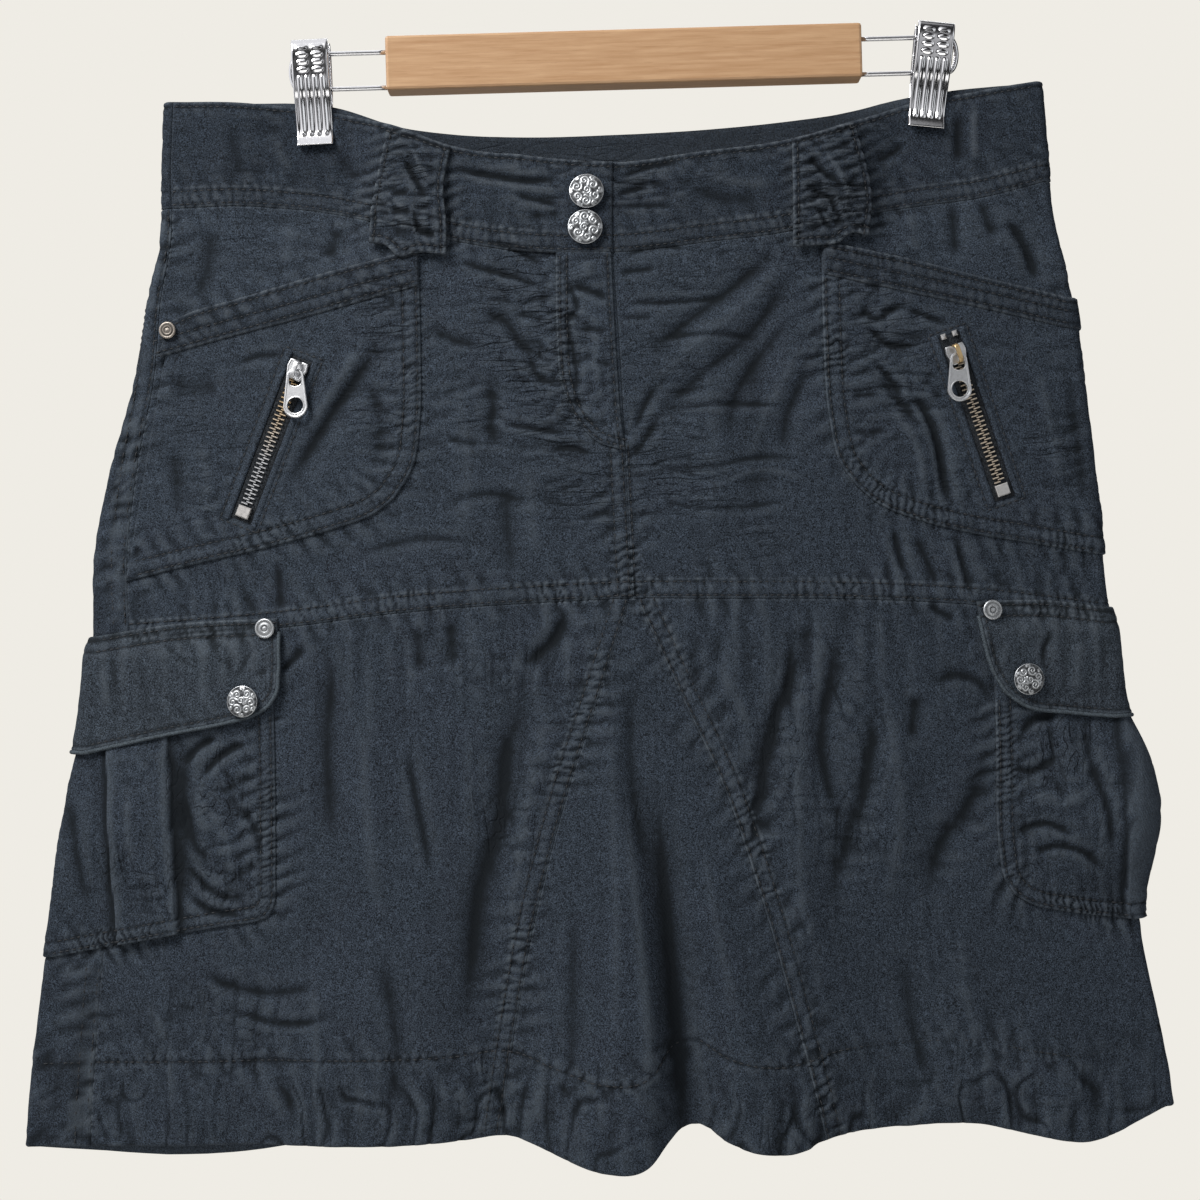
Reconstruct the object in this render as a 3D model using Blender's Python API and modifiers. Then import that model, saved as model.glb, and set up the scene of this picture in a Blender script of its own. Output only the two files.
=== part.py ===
"""A cargo skirt hanging from a wooden clip hanger, built from the pieces that a maker would cut and sew.

Metres, +Z up. The origin is the middle of the top face of the hanger's bar, and the front faces -Y.
Tables and sizes are in millimetres. Two measures place everything on the cloth:
  across  the distance to the right along the front, which runs on round each side fold to the back
  drop    the distance below the top face of the bar
"""

import math

import bmesh
import bpy
import numpy as np
from mathutils import Matrix, Vector

MM = 0.001
MERGE = 0.00001         # metres, below which two points are one
COLLECTION_NAME = "cargo_skirt_on_hanger"

# Cloth
WALL = 1.2              # one ply with its turned-in edge
THIN_WALL = 1.0         # a ply without one
PLY_GAP = 0.3           # between a piece and what it lies on
SEAM_GAP = 0.5          # between two pieces joined edge to edge
FOLD_RADIUS = 2.6       # inside of the turn at each side of the hanging skirt
CROWN_POWER = 1.3       # how quickly the layers part, inwards from the side folds
PLY_EASE = 0.1          # more room between a small piece and the one it lies on
FIRST_PLY = WALL + PLY_GAP
SECOND_PLY = FIRST_PLY + WALL + PLY_GAP + PLY_EASE
UNDERLAP_CELLS = 2      # how far the waistband's right end reaches under its buttoned left end
OVERLAP_RISE = (-62.0, -48.0)   # across, where the buttoned end rises over the underlap
FOLD_FADE = 30.0        # the soft folds fade out this near a side fold
FOLD_EASING = 1.4       # how slowly a soft fold deepens on its way down

# Hanger
BAR = (213.0, 15.0, 24.2)
BAR_EDGE = 1.2
WIRE_RADIUS = 1.25
WIRE_DROPS = (5.8, 21.7)
CLIP_WIDTH = 16.4
CLIP_PLATE = 0.8
CLIPS = {"left": (-140.6, -1.5), "right": (140.6, 7.2)}     # middle of the top, lean in degrees
GRIP_DROPS = (48.0, 125.0)      # the layers are pinched down to the first and free from the second
GRIP_HALF_WIDTHS = (11.0, 44.0)
GRIP_DROP = 40.0        # where the clips hold the band
GRIP_GAP = 0.2
WIRE_BEND = 3.9         # how far the wire's bend reaches past the clip's middle hole
WIRE_HOLE_IN = 3.0      # from a clip's outer edge to where the bend begins

# Fastenings
BUTTON_GAP = 0.5        # between a button or a rivet and the cloth under it
WAIST_BUTTON_RADIUS = 7.7
FLAP_BUTTON_RADIUS = 7.0
RIVET_RADIUS = 4.5
HIP_RIVET_RADIUS = 3.9
ZIP_SLOT = (11.0, 78.0)
ZIP_SLOT_DEPTH = 12.0   # of the cutter, well through the pocket's wall
ZIP_CLEARANCE = 0.4
ZIP_TAPE_WALL = 0.8
SLIDER = (9.4, 8.8, 2.2)
SLIDER_FROM_END = {"left": 2.1, "right": 5.4}   # from the slot's upper end to the slider
BRIDGE = {"width": 2.2, "wall": 1.0, "tunnel_half": 1.7, "roof": 1.15, "sunk": 0.4}
PULL_AXIS_HEIGHT = 1.6  # of the pull's crossbar above the slider's face
PULL_THICKNESS = 1.0
PULL = {"hole_at": -15.8, "hole": 3.5, "end": 5.6, "eye_half": 2.7, "shoulder": 4.0}


def table(names, rows):
    """Rows of numbers as one array for each named column."""
    return dict(zip(names.split(), np.array(rows, float).T))


# The hanging skirt's side folds, and how far the front and back bulge from the middle plane.
SECTIONS = table("drop left right front back", (
    (25, -207.5, 188, 6, 6),
    (60, -209.5, 190, 11, 8),
    (85, -210, 191, 14, 10),
    (115, -217, 197, 16, 13),
    (150, -224, 201, 18, 16),
    (190, -236, 205, 20, 19),
    (230, -244.5, 208.5, 22, 22),
    (270, -246.5, 211, 24, 25),
    (310, -251.5, 214.5, 26, 28),
    (360, -261, 217, 29, 31),
    (410, -271.5, 221.5, 31, 34),
    (460, -279, 230.5, 33, 36),
    (500, -284, 236, 34, 37),
))

# Edges that run round the body. Front and back agree at the side folds.
WAISTLINE = table("x front_top back_top front_seam back_seam", (
    (-208, 26, 26, 74, 74),
    (-165, 28, 27, 74.5, 74),
    (-131, 32.5, 30, 79, 77),
    (-106, 39.5, 37.5, 86, 83),
    (-78, 51, 42, 94, 88),
    (-45, 57, 44, 100, 90),
    (-8, 61, 44, 101.5, 90),
    (33, 57, 43, 98, 89),
    (73, 52, 40.5, 93.5, 87),
    (105, 43, 37, 86.5, 83),
    (127, 36, 33, 83, 79),
    (160, 31, 29, 79, 76),
    (190, 27, 27, 72, 72),
))
YOKE = table("x front back", (
    (-250, 268, 268), (-157, 263, 268), (-105, 258, 268), (-35, 255, 268), (0, 254.5, 268),
    (35, 255.5, 268), (97, 257.5, 268), (154, 262, 269), (213, 270.5, 270.5),
))
HEM = table("x front back", (
    (-283, 493, 493), (-249, 492, 498), (-190, 491, 505), (-150, 490, 500), (-87, 489, 496),
    (-60, 487.5, 495), (-42, 494, 495), (-22, 500, 494), (-3, 498, 494), (9, 487, 494),
    (20, 484.5, 494), (31, 491, 494), (56, 497, 494), (83, 492, 494), (112, 490.5, 493),
    (144, 491, 492), (170, 497, 491), (194, 500.5, 490), (210, 497, 489), (235, 487, 487),
))

# Seams that run down the body. The skirt hangs turned a little, so the left side seam shows on the
# front, side_in from the left fold, and the right one lies as far in on the back.
SIDE_SEAMS = table("drop side_in centre_back", (
    (25, 5, -14), (74, 5, -15), (115, 6.5, -18), (150, 9.5, -21), (230, 16, -28),
    (270, 18, -31), (400, 27, -45), (500, 32, -56),
))
FLY_EDGE = table("drop x", ((60, -6.5), (100, -7.5), (136, -6), (190, -4.5), (258, -3)))
GODET = table("drop left right", (
    (256, -4.8, -0.8), (297, -19, 16.5), (335, -32.5, 33), (388, -48, 49.5),
    (449, -61, 64.5), (500, -70, 76.5),
))

# Soft folds that open towards the hem: side is 1 on the front and -1 on the back.
FOLDS = table("side x_start x_hem width_start width_hem depth start", (
    (1, -5, -13, 22, 30, 15, 262),
    (1, 14, 18, 9, 12, -13, 350),
    (1, 34, 47, 16, 24, 8, 330),
    (1, 92, 108, 24, 30, -7, 330),
    (1, 150, 186, 22, 24, 6, 400),
    (1, -58, -72, 18, 18, -6, 300),
    (1, -110, -128, 26, 30, 4, 300),
    (1, -150, -182, 20, 20, -4, 380),
    (-1, -168, -190, 24, 28, 7, 300),
    (-1, -110, -128, 22, 26, -8, 300),
    (-1, -56, -66, 24, 30, 9, 290),
    (-1, -4, -2, 24, 26, -9, 320),
    (-1, 50, 62, 24, 30, 8, 290),
    (-1, 104, 124, 22, 26, -7, 310),
    (-1, 148, 172, 20, 24, 5, 340),
))

# Column stations round the body, from the centre back to the centre back again.
CENTRE_BACK_START, LEFT_BACK, LEFT_FRONT, SIDE_LEFT, CENTRE_LEFT = 0, 1, 2, 3, 4
CENTRE_RIGHT, RIGHT_FRONT, RIGHT_BACK, SIDE_RIGHT, CENTRE_BACK_END = 5, 6, 7, 8, 9
COLUMNS = (13, 4, 2, 12, 9, 12, 4, 2, 13)       # cells between one station and the next
# Row stations from the waist's edge to the hem.
WAIST_EDGE, WAIST_SEAM, YOKE_SEAM, HEM_EDGE = -1, 0, 1, 2
ROWS = {WAIST_EDGE: 3, WAIST_SEAM: 9, YOKE_SEAM: 12}
USUAL_DROPS = (35, 85, 262, 493)                # of the row stations, as a first guess

# Patterns of the pieces that lie on the body: convex outlines of (across, drop).
FLY_OUTLINE = [(-29, 95), (-4, 95), (-4, 190), (-11, 187.5), (-18, 182), (-23, 173), (-26, 160)]
HIP_POCKETS = {
    "left": {
        "columns": (SIDE_LEFT, CENTRE_LEFT),
        "outline": [(-93, 96.5), (-93.5, 142), (-95.5, 180), (-99.5, 197), (-109.5, 210), (-130, 218.5),
                    (-168, 227), (-228.5, 240.5), (-212.8, 130), (-205, 124), (-180, 117), (-138, 107)],
        "band": [(-93.6, 97.6), (-93.6, 109.5), (-214, 141), (-212.6, 130.6), (-205, 124.6),
                 (-180, 117.6), (-138, 107.6)],
    },
    "right": {
        "columns": (CENTRE_RIGHT, SIDE_RIGHT),
        "outline": [(85, 98.5), (85.5, 142), (86.5, 178), (90, 196), (102.5, 213.5), (125, 223.5),
                    (162, 232), (207, 240.5), (225.5, 243), (205.4, 128)],
        "band": [(85.6, 99.2), (85.6, 109.8), (206.6, 139.8), (205.2, 128.6)],
    },
}
ZIPS = {"left": ((-160.9, 179.7), 22.3), "right": ((152.3, 178.0), -17.5)}  # middle, lean in degrees
CARGO = {
    "left": {
        "columns": (CENTRE_BACK_START, CENTRE_LEFT),
        "outline": [(-163, 276), (-163, 390), (-297.5, 413), (-297.5, 284)],
        "outline_radii": [0, 9, 7, 0],
        "flap": [(-160, 258.9), (-160, 299.3), (-300, 324.5), (-300, 271.5)],
        "flap_radii": [0, 12, 9, 0],
        "pleat": ((-225.5, 300), (-221.5, 405), 14.5),
        "puff": 4.0,
    },
    "right": {
        "columns": (CENTRE_RIGHT, CENTRE_BACK_END),
        "outline": [(157, 278), (156, 391), (221, 404.5), (293, 409), (293, 285)],
        "outline_radii": [0, 14, 0, 7, 0],
        "flap": [(149.5, 260), (151, 305), (222, 313.9), (295.5, 319.5), (295.5, 269.5)],
        "flap_radii": [0, 13, 0, 9, 0],
        "pleat": ((226, 300), (227.5, 405), 14.5),
        "puff": 12.0,
    },
}
POUCH_STEPS, FLAP_STEPS = 3, 4      # cells round each rounded corner
PUFF_DROPS = (300, 404)  # a pocket stands away from the panel between these drops
PUFF_POWER = 1.8         # and the more this is, the faster that dies away to both ends
POUCH_REACH = 8         # grid cells of the back that a pocket spans
FLAP_RISE = (261, 275)  # drops between which a flap rises over its pouch
PLEAT_RISE = 1.5
PLEAT_STEP = 1.4
FLAP_EASE = 0.9         # spare room between a flap and the pouch that it covers
PIPING_WIDTH = 2.6
PIPING_EASE = 0.4
PIPING_START = 7.0      # below the flap's seam
PIPING_CELL = 7.0
PIPED_CORNERS = {"left": 7, "right": 8}     # corners of the flap's outline up to its back edge
BELT_LOOPS = {
    "front_left": {
        "columns": (SIDE_LEFT, CENTRE_LEFT),
        "outline": [(-107, 30), (-77.5, 30), (-80.5, 101), (-101, 102.5), (-114.5, 94)],
    },
    "front_right": {
        "columns": (CENTRE_RIGHT, RIGHT_FRONT),
        "outline": [(74, 30), (103.5, 30), (104.5, 93.5), (93, 99), (72, 99.5)],
    },
}
LOOP_END_ROWS = (1 / 9, 2 / 9)      # a loop's end reaches these row lines below the waist seam
LOOP_END_LIFT = 4.4                 # where a loop's end lies over the band, the hip and the pocket
LOOP_LANDING = (60, 90)
LOOP_BOW = {"rise": 2.0, "drop": 68, "spread": 16}
BACK_LOOP_HALF = 1.15               # in cells of the back

# Places of the buttons and rivets as (across, drop), each a little over what it is fixed to.
WAIST_BUTTONS = {"upper": (-18.3, 75), "lower": (-19.3, 90.8)}
FLAP_BUTTONS = {"left": (-175, 295.4), "right": (170.4, 295.3)}
FLAP_RIVETS = {"left": (-165, 263.4), "right": (155.7, 264.1)}
HIP_RIVETS = {"left": (-206.5, 129.2), "right": (203.6, 134.5)}

# A clip's plate from the side: how far its inner face stands from the middle plane, and the depth of
# the walls turned in along its two long edges.
CLIP_PROFILE = table("drop stand wall", (
    (0.6, 5.6, 0.8), (3.0, 6.6, 3.6), (13.0, 6.8, 4.4), (22.0, 5.6, 3.2), (27.0, 3.7, 1.2),
    (31.0, 2.5, 0.4), (44.5, 2.5, 0.4), (47.0, 4.0, 0.4),
))

COLOURS = {
    "cloth": (0.028, 0.036, 0.045, 0.92, 0.0),
    "band": (0.024, 0.031, 0.040, 0.92, 0.0),
    "flap": (0.038, 0.048, 0.058, 0.92, 0.0),
    "piping": (0.055, 0.070, 0.082, 0.85, 0.0),
    "tape": (0.012, 0.013, 0.016, 0.95, 0.0),
    "pewter": (0.38, 0.37, 0.35, 0.38, 1.0),
    "zip_metal": (0.62, 0.61, 0.58, 0.32, 1.0),
    "chrome": (0.82, 0.82, 0.83, 0.12, 1.0),
    "wood": (0.51, 0.31, 0.165, 0.55, 0.0),
}


# ---- The hanging shape ------------------------------------------------------------------------

def smooth(at, places, values):
    """Cubic curve through a table's column, level past both ends."""
    at = np.clip(at, places[0], places[-1])
    slopes = np.gradient(values, places)
    i = np.clip(np.searchsorted(places, at) - 1, 0, len(places) - 2)
    span = places[i + 1] - places[i]
    t = (at - places[i]) / span
    start = (1 + 2 * t) * (1 - t) ** 2 * values[i] + t * (1 - t) ** 2 * span * slopes[i]
    end = t * t * (3 - 2 * t) * values[i + 1] + t * t * (t - 1) * span * slopes[i + 1]
    return start + end


def ramp(at, start, end):
    """0 up to start, 1 from end on, and smooth between them."""
    t = np.clip((at - start) / (end - start), 0, 1)
    return t * t * (3 - 2 * t)


def fold_starts(drop):
    """Where the front turns into the left and the right fold."""
    reach = FOLD_RADIUS + WALL
    left = smooth(drop, SECTIONS["drop"], SECTIONS["left"]) + reach
    right = smooth(drop, SECTIONS["drop"], SECTIONS["right"]) - reach
    return left, right


def unwrap(across, drop):
    """A point of the cloth in plan: x, x without the fold's roundness, and 1 front to -1 back."""
    left, right = fold_starts(drop)
    half_turn = math.pi * FOLD_RADIUS
    past_left, past_right = left - across, across - right
    angle = np.clip(np.maximum(past_left, past_right) / FOLD_RADIUS, 0, math.pi)
    flat = np.clip(across, left, right)
    flat = np.where(past_left > half_turn, left + past_left - half_turn, flat)
    flat = np.where(past_right > half_turn, right - past_right + half_turn, flat)
    outwards = np.where(past_left > 0, -1, 1) * FOLD_RADIUS * np.sin(angle)
    return flat + outwards, flat, np.cos(angle)


def grip(x, drop):
    """1 where a clip pinches the layers together, falling to 0 round about."""
    hold = 0
    for clip_x, lean in CLIPS.values():
        middle = clip_x - math.tan(math.radians(lean)) * GRIP_DROP
        hold = np.maximum(hold, 1 - ramp(np.abs(x - middle), *GRIP_HALF_WIDTHS))
    return hold * (1 - ramp(drop, *GRIP_DROPS))


def hem_folds(x, drop, side):
    """How far the soft folds lift one layer outwards."""
    lift = 0
    for row in zip(*FOLDS.values()):
        fold_side, x_start, x_hem, width_start, width_hem, depth, start = row
        if fold_side == side:
            down = np.clip((drop - start) / (HEM["front"][0] - start), 0, 1.1)
            middle = x_start + (x_hem - x_start) * down
            width = width_start + (width_hem - width_start) * down
            lift = lift + depth * down ** FOLD_EASING * np.exp(-((x - middle) / width) ** 2)
    return lift


def surface(across, drop):
    """Points on the inner face of the skirt, in millimetres."""
    x, flat, facing = unwrap(across, drop)
    left, right = fold_starts(drop)
    share = np.clip((flat - left) / (right - left), 0, 1)
    crown = (4 * share * (1 - share)) ** CROWN_POWER
    fade = ramp(np.minimum(flat - left, right - flat), 0, FOLD_FADE)
    front = smooth(drop, SECTIONS["drop"], SECTIONS["front"]) * crown + hem_folds(flat, drop, 1) * fade
    back = smooth(drop, SECTIONS["drop"], SECTIONS["back"]) * crown + hem_folds(flat, drop, -1) * fade
    bulge = np.where(facing > 0, -front, back)
    held = grip(flat, drop)
    y = (bulge - facing * FOLD_RADIUS) * (1 - held) - np.sign(facing) * GRIP_GAP * held
    return np.stack([x, y, -drop], axis=-1)


def outward(across, drop):
    """Unit normals of the skirt, pointing out of it."""
    step = 0.4
    along = surface(across + step, drop) - surface(across - step, drop)
    down = surface(across, drop + step) - surface(across, drop - step)
    normal = np.cross(down, along)
    return normal / np.linalg.norm(normal, axis=-1, keepdims=True)


def row_drop(row, flat, facing):
    """Drop of a row station at a place in plan: -1 waist edge, 0 waist seam, 1 yoke seam, 2 hem."""
    def edge(source, front, back):
        on_front = smooth(flat, source["x"], source[front])
        on_back = smooth(flat, source["x"], source[back])
        return np.where(facing > 0, on_front, on_back)
    edges = [edge(WAISTLINE, "front_top", "back_top"), edge(WAISTLINE, "front_seam", "back_seam"),
             edge(YOKE, "front", "back"), edge(HEM, "front", "back")]
    low = np.clip(np.floor(row).astype(int) + 1, 0, 2)
    share = row + 1 - low
    return np.choose(low, edges[:3]) * (1 - share) + np.choose(low, edges[1:]) * share


def column_across(column, drop, row):
    """Across of a column station at a drop."""
    left, right = fold_starts(drop)
    half_turn = math.pi * FOLD_RADIUS
    reach = FOLD_RADIUS + WALL
    side_in = smooth(drop, SIDE_SEAMS["drop"], SIDE_SEAMS["side_in"]) - reach
    centre_back = smooth(drop, SIDE_SEAMS["drop"], SIDE_SEAMS["centre_back"])
    fly = smooth(drop, FLY_EDGE["drop"], FLY_EDGE["x"])
    below = row > YOKE_SEAM
    centre_left = np.where(below, smooth(drop, GODET["drop"], GODET["left"]), fly)
    centre_right = np.where(below, smooth(drop, GODET["drop"], GODET["right"]), fly)
    places = [left - half_turn - (centre_back - left), left - half_turn, left, left + side_in,
              centre_left, centre_right, right, right + half_turn, right + half_turn + side_in,
              right + half_turn + (right - centre_back)]
    low = np.clip(np.floor(column).astype(int), 0, 8)
    share = column - low
    return np.choose(low, places[:9]) * (1 - share) + np.choose(low, places[1:]) * share


def place(column, row):
    """Across and drop of grid points, settled together because each bends the other."""
    drop = np.interp(row, (WAIST_EDGE, WAIST_SEAM, YOKE_SEAM, HEM_EDGE), USUAL_DROPS)
    for _ in range(5):
        across = column_across(column, drop, row)
        _, flat, facing = unwrap(across, drop)
        drop = row_drop(row, flat, facing)
    return across, drop


# ---- Cutting and sewing -----------------------------------------------------------------------

def stations(start, end, counts):
    """The grid lines from one station to another, with the given number of cells between each two."""
    lines = [start]
    for low in range(math.floor(start), math.ceil(end)):
        cells = counts[low]
        lines += [low + (i + 1) / cells for i in range(cells) if start < low + (i + 1) / cells < end]
    return np.array(lines + [end])


def cut_grid(columns, rows, trims=(), creases=()):
    """A flat piece in (across, -drop): grid cells, trimmed to convex outlines and scored on creases."""
    column, row = np.meshgrid(columns, rows)
    below = rows[0] >= YOKE_SEAM
    across, drop = place(column, np.where(below, np.maximum(row, YOKE_SEAM + 1e-6), row))
    across[:, 0] += SEAM_GAP / 2
    across[:, -1] -= SEAM_GAP / 2
    drop[0] += SEAM_GAP / 2
    drop[-1] -= SEAM_GAP / 2
    flat = bmesh.new()
    points = [[flat.verts.new((a, -d, 0)) for a, d in zip(*line)] for line in zip(across, drop)]
    for upper, lower in zip(points, points[1:]):
        for i in range(len(upper) - 1):
            flat.faces.new((lower[i], lower[i + 1], upper[i + 1], upper[i]))
    for outline in trims:
        trim(flat, outline)
    for start, end in creases:
        slice_flat(flat, start, end, False)
    return flat


def slice_flat(flat, start, end, clear):
    """Cuts along a line between two (across, drop) points, and can drop what lies to its right."""
    start = Vector((start[0], -start[1], 0))
    along = Vector((end[0], -end[1], 0)) - start
    normal = Vector((along.y, -along.x, 0)).normalized()
    everything = flat.verts[:] + flat.edges[:] + flat.faces[:]
    bmesh.ops.bisect_plane(flat, geom=everything, dist=0.15, plane_co=start, plane_no=normal,
                           clear_outer=clear, clear_inner=False)


def trim(flat, outline):
    """Keeps the inside of a convex outline of (across, drop) corners."""
    pairs = list(zip(outline, outline[1:] + outline[:1]))
    turn = sum(a[0] * -b[1] + b[0] * a[1] for a, b in pairs)
    for start, end in pairs if turn > 0 else [(b, a) for a, b in pairs]:
        slice_flat(flat, start, end, True)


def collection(name):
    found = bpy.data.collections.new(name)
    bpy.context.scene.collection.children.link(found)
    return found


def material(finish):
    """The finish of one kind of piece."""
    found = bpy.data.materials.get(finish)
    if found is None:
        red, green, blue, roughness, metallic = COLOURS[finish]
        found = bpy.data.materials.new(finish)
        found.use_nodes = True
        shader = found.node_tree.nodes["Principled BSDF"]
        shader.inputs["Base Color"].default_value = (red, green, blue, 1)
        shader.inputs["Roughness"].default_value = roughness
        shader.inputs["Metallic"].default_value = metallic
    return found


def finished(name, mesh, finish, group, smooth_angle=35):
    """An object from a mesh, in its collection and with its material."""
    piece = bpy.data.objects.new(name, mesh)
    mesh.materials.append(material(finish))
    mesh.shade_smooth()
    mesh.set_sharp_from_angle(angle=math.radians(smooth_angle))
    group.objects.link(piece)
    return piece


def sew(name, flats, lift, thickness, finish, group):
    """A pattern piece laid on the hanging shape: lift(across, drop) is its inner face's height."""
    joined = bmesh.new()
    for flat in flats:
        flat.verts.ensure_lookup_table()
        plan = np.array([vert.co[:] for vert in flat.verts])
        across, drop = plan[:, 0], -plan[:, 1]
        height = lift(across, drop) if callable(lift) else np.full(len(plan), float(lift))
        laid = surface(across, drop) + outward(across, drop) * height[:, None]
        for vert, point in zip(flat.verts, laid):
            vert.co = Vector(point) * MM
        sheet = bpy.data.meshes.new("ply")
        flat.to_mesh(sheet)
        flat.free()
        joined.from_mesh(sheet)
        bpy.data.meshes.remove(sheet)
    if len(flats) > 1:
        bmesh.ops.remove_doubles(joined, verts=joined.verts, dist=SEAM_GAP * 1.2 * MM)
    mesh = bpy.data.meshes.new(name)
    joined.to_mesh(mesh)
    joined.free()
    piece = finished(name, mesh, finish, group)
    wall = piece.modifiers.new("wall", "SOLIDIFY")
    wall.thickness = thickness * MM
    wall.offset = 1
    return piece


def rounded(corners, radii, steps):
    """A convex outline with some corners rounded off: one radius for each corner, 0 for sharp."""
    outline = []
    for i, (corner, radius) in enumerate(zip(corners, radii)):
        here = Vector(corner)
        if radius == 0:
            outline.append(tuple(here))
            continue
        before = (Vector(corners[i - 1]) - here).normalized()
        after = (Vector(corners[(i + 1) % len(corners)]) - here).normalized()
        half = before.angle(after) / 2
        middle = here + (before + after).normalized() * radius / math.sin(half)
        reach = radius / math.tan(half)
        first, last = here + before * reach - middle, here + after * reach - middle
        sweep = first.angle(last)
        for k in range(steps + 1):
            t = k / steps
            spoke = (first * math.sin((1 - t) * sweep) + last * math.sin(t * sweep)) / math.sin(sweep)
            outline.append(tuple(middle + spoke))
    return outline


def add_cutter(name, shape, matrix, cutters):
    """A helper for a Boolean, from a bmesh, left out of the model itself."""
    helper = bpy.data.objects.new(name, mesh_from(name, shape))
    cutters.objects.link(helper)
    helper.hide_render = True
    helper.display_type = "WIRE"
    helper.matrix_world = matrix
    return helper


def add_boolean(piece, operation, helper):
    cut = piece.modifiers.new(helper.name, "BOOLEAN")
    cut.operation = operation
    cut.solver = "EXACT"
    cut.object = helper


# ---- Cloth pieces -----------------------------------------------------------------------------

def overlap_lift(across, drop):
    """The buttoned end of the waistband rides up over the other end."""
    return FIRST_PLY * ramp(across, *OVERLAP_RISE)


def make_waistband(group):
    rows = stations(WAIST_EDGE, WAIST_SEAM, ROWS)
    left = cut_grid(stations(SIDE_LEFT, CENTRE_LEFT, COLUMNS), rows)
    sew("waistband_front_left", [left], overlap_lift, WALL, "band", group)
    under = CENTRE_LEFT - UNDERLAP_CELLS / COLUMNS[SIDE_LEFT]
    columns = np.append(stations(under, CENTRE_LEFT, COLUMNS),
                        stations(CENTRE_RIGHT, SIDE_RIGHT, COLUMNS)[1:])
    right = cut_grid(columns, rows)
    sew("waistband_front_right", [right], 0, WALL, "band", group)
    back = [cut_grid(stations(CENTRE_BACK_START, SIDE_LEFT, COLUMNS), rows),
            cut_grid(stations(SIDE_RIGHT, CENTRE_BACK_END, COLUMNS), rows)]
    sew("waistband_back", back, 0, WALL, "band", group)


def make_body(group):
    upper = stations(WAIST_SEAM, YOKE_SEAM, ROWS)
    lower = stations(YOKE_SEAM, HEM_EDGE, ROWS)
    full = stations(WAIST_SEAM, HEM_EDGE, ROWS)
    left = stations(SIDE_LEFT, CENTRE_LEFT, COLUMNS)
    right = stations(CENTRE_RIGHT, SIDE_RIGHT, COLUMNS)
    sew("front_hip_left", [cut_grid(left, upper)], 0, WALL, "cloth", group)
    sew("front_hip_right", [cut_grid(right, upper)], 0, WALL, "cloth", group)
    sew("front_lower_left", [cut_grid(left, lower)], 0, WALL, "cloth", group)
    sew("front_lower_right", [cut_grid(right, lower)], 0, WALL, "cloth", group)
    middle = stations(CENTRE_LEFT, CENTRE_RIGHT, COLUMNS)
    sew("godet", [cut_grid(middle, lower)], 0, WALL, "cloth", group)
    back_left = stations(CENTRE_BACK_START, SIDE_LEFT, COLUMNS)
    back_right = stations(SIDE_RIGHT, CENTRE_BACK_END, COLUMNS)
    sew("back_left", [cut_grid(back_left, full)], 0, WALL, "cloth", group)
    sew("back_right", [cut_grid(back_right, full)], 0, WALL, "cloth", group)


def make_fly(group):
    """The fly's strip on the left front, which ends in a curve at the bottom."""
    columns = stations(CENTRE_LEFT - 3 / COLUMNS[SIDE_LEFT], CENTRE_LEFT, COLUMNS)
    flat = cut_grid(columns, stations(WAIST_SEAM, YOKE_SEAM, ROWS), [FLY_OUTLINE])
    sew("fly", [flat], FIRST_PLY, WALL, "cloth", group)


def turned_box(middle, lean, width, length):
    """Corners of a leaning rectangle on the pattern."""
    across = Vector((math.cos(math.radians(lean)), math.sin(math.radians(lean)))) * width / 2
    down = Vector((-math.sin(math.radians(lean)), math.cos(math.radians(lean)))) * length / 2
    middle = Vector(middle)
    return [tuple(middle + i * across + j * down) for i, j in ((-1, -1), (1, -1), (1, 1), (-1, 1))]


def frame_at(across, drop, height, lean=0):
    """The place and turn of something on the cloth: local Z points out, Y up and X across."""
    point = (surface(across, drop) + outward(across, drop) * height) * MM
    out = Vector(outward(across, drop))
    side = Vector((0, 0, 1)).cross(out).normalized()
    rise = out.cross(side)
    turn = math.radians(lean)
    right = side * math.cos(turn) - rise * math.sin(turn)
    up = out.cross(right)
    return Matrix.Translation(Vector(point)) @ Matrix((right, up, out)).transposed().to_4x4()


def make_hip_pocket(side, group, cutters):
    """A patch pocket with a slanting mouth, a band along the mouth, and a zip set into a slot."""
    spec = HIP_POCKETS[side]
    columns = stations(*spec["columns"], COLUMNS)
    rows = stations(WAIST_SEAM, YOKE_SEAM, ROWS)
    pocket = sew(f"hip_pocket_{side}", [cut_grid(columns, rows, [spec["outline"]])], FIRST_PLY, WALL,
                 "cloth", group)
    sew(f"pocket_band_{side}", [cut_grid(columns, rows, [spec["band"]])], SECOND_PLY, THIN_WALL,
        "band", group)
    middle, lean = ZIPS[side]
    slot = add_cutter(f"zip_slot_{side}", block((*ZIP_SLOT, ZIP_SLOT_DEPTH), 0),
                      frame_at(*middle, FIRST_PLY, lean), cutters)
    add_boolean(pocket, "DIFFERENCE", slot)
    tape = turned_box(middle, lean, ZIP_SLOT[0] - 2 * ZIP_CLEARANCE, ZIP_SLOT[1] - 2 * ZIP_CLEARANCE)
    sew(f"zip_tape_{side}", [cut_grid(columns, rows, [tape])], FIRST_PLY, ZIP_TAPE_WALL, "tape", group)


def seam_columns(side):
    """Grid lines for a patch across the side seam, whose own column is kept."""
    start, end = CARGO[side]["columns"]
    if side == "right":
        end = SIDE_RIGHT + POUCH_REACH / COLUMNS[SIDE_RIGHT]
    else:
        start = LEFT_BACK - POUCH_REACH / COLUMNS[CENTRE_BACK_START]
    return stations(start, end, COLUMNS)


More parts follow.
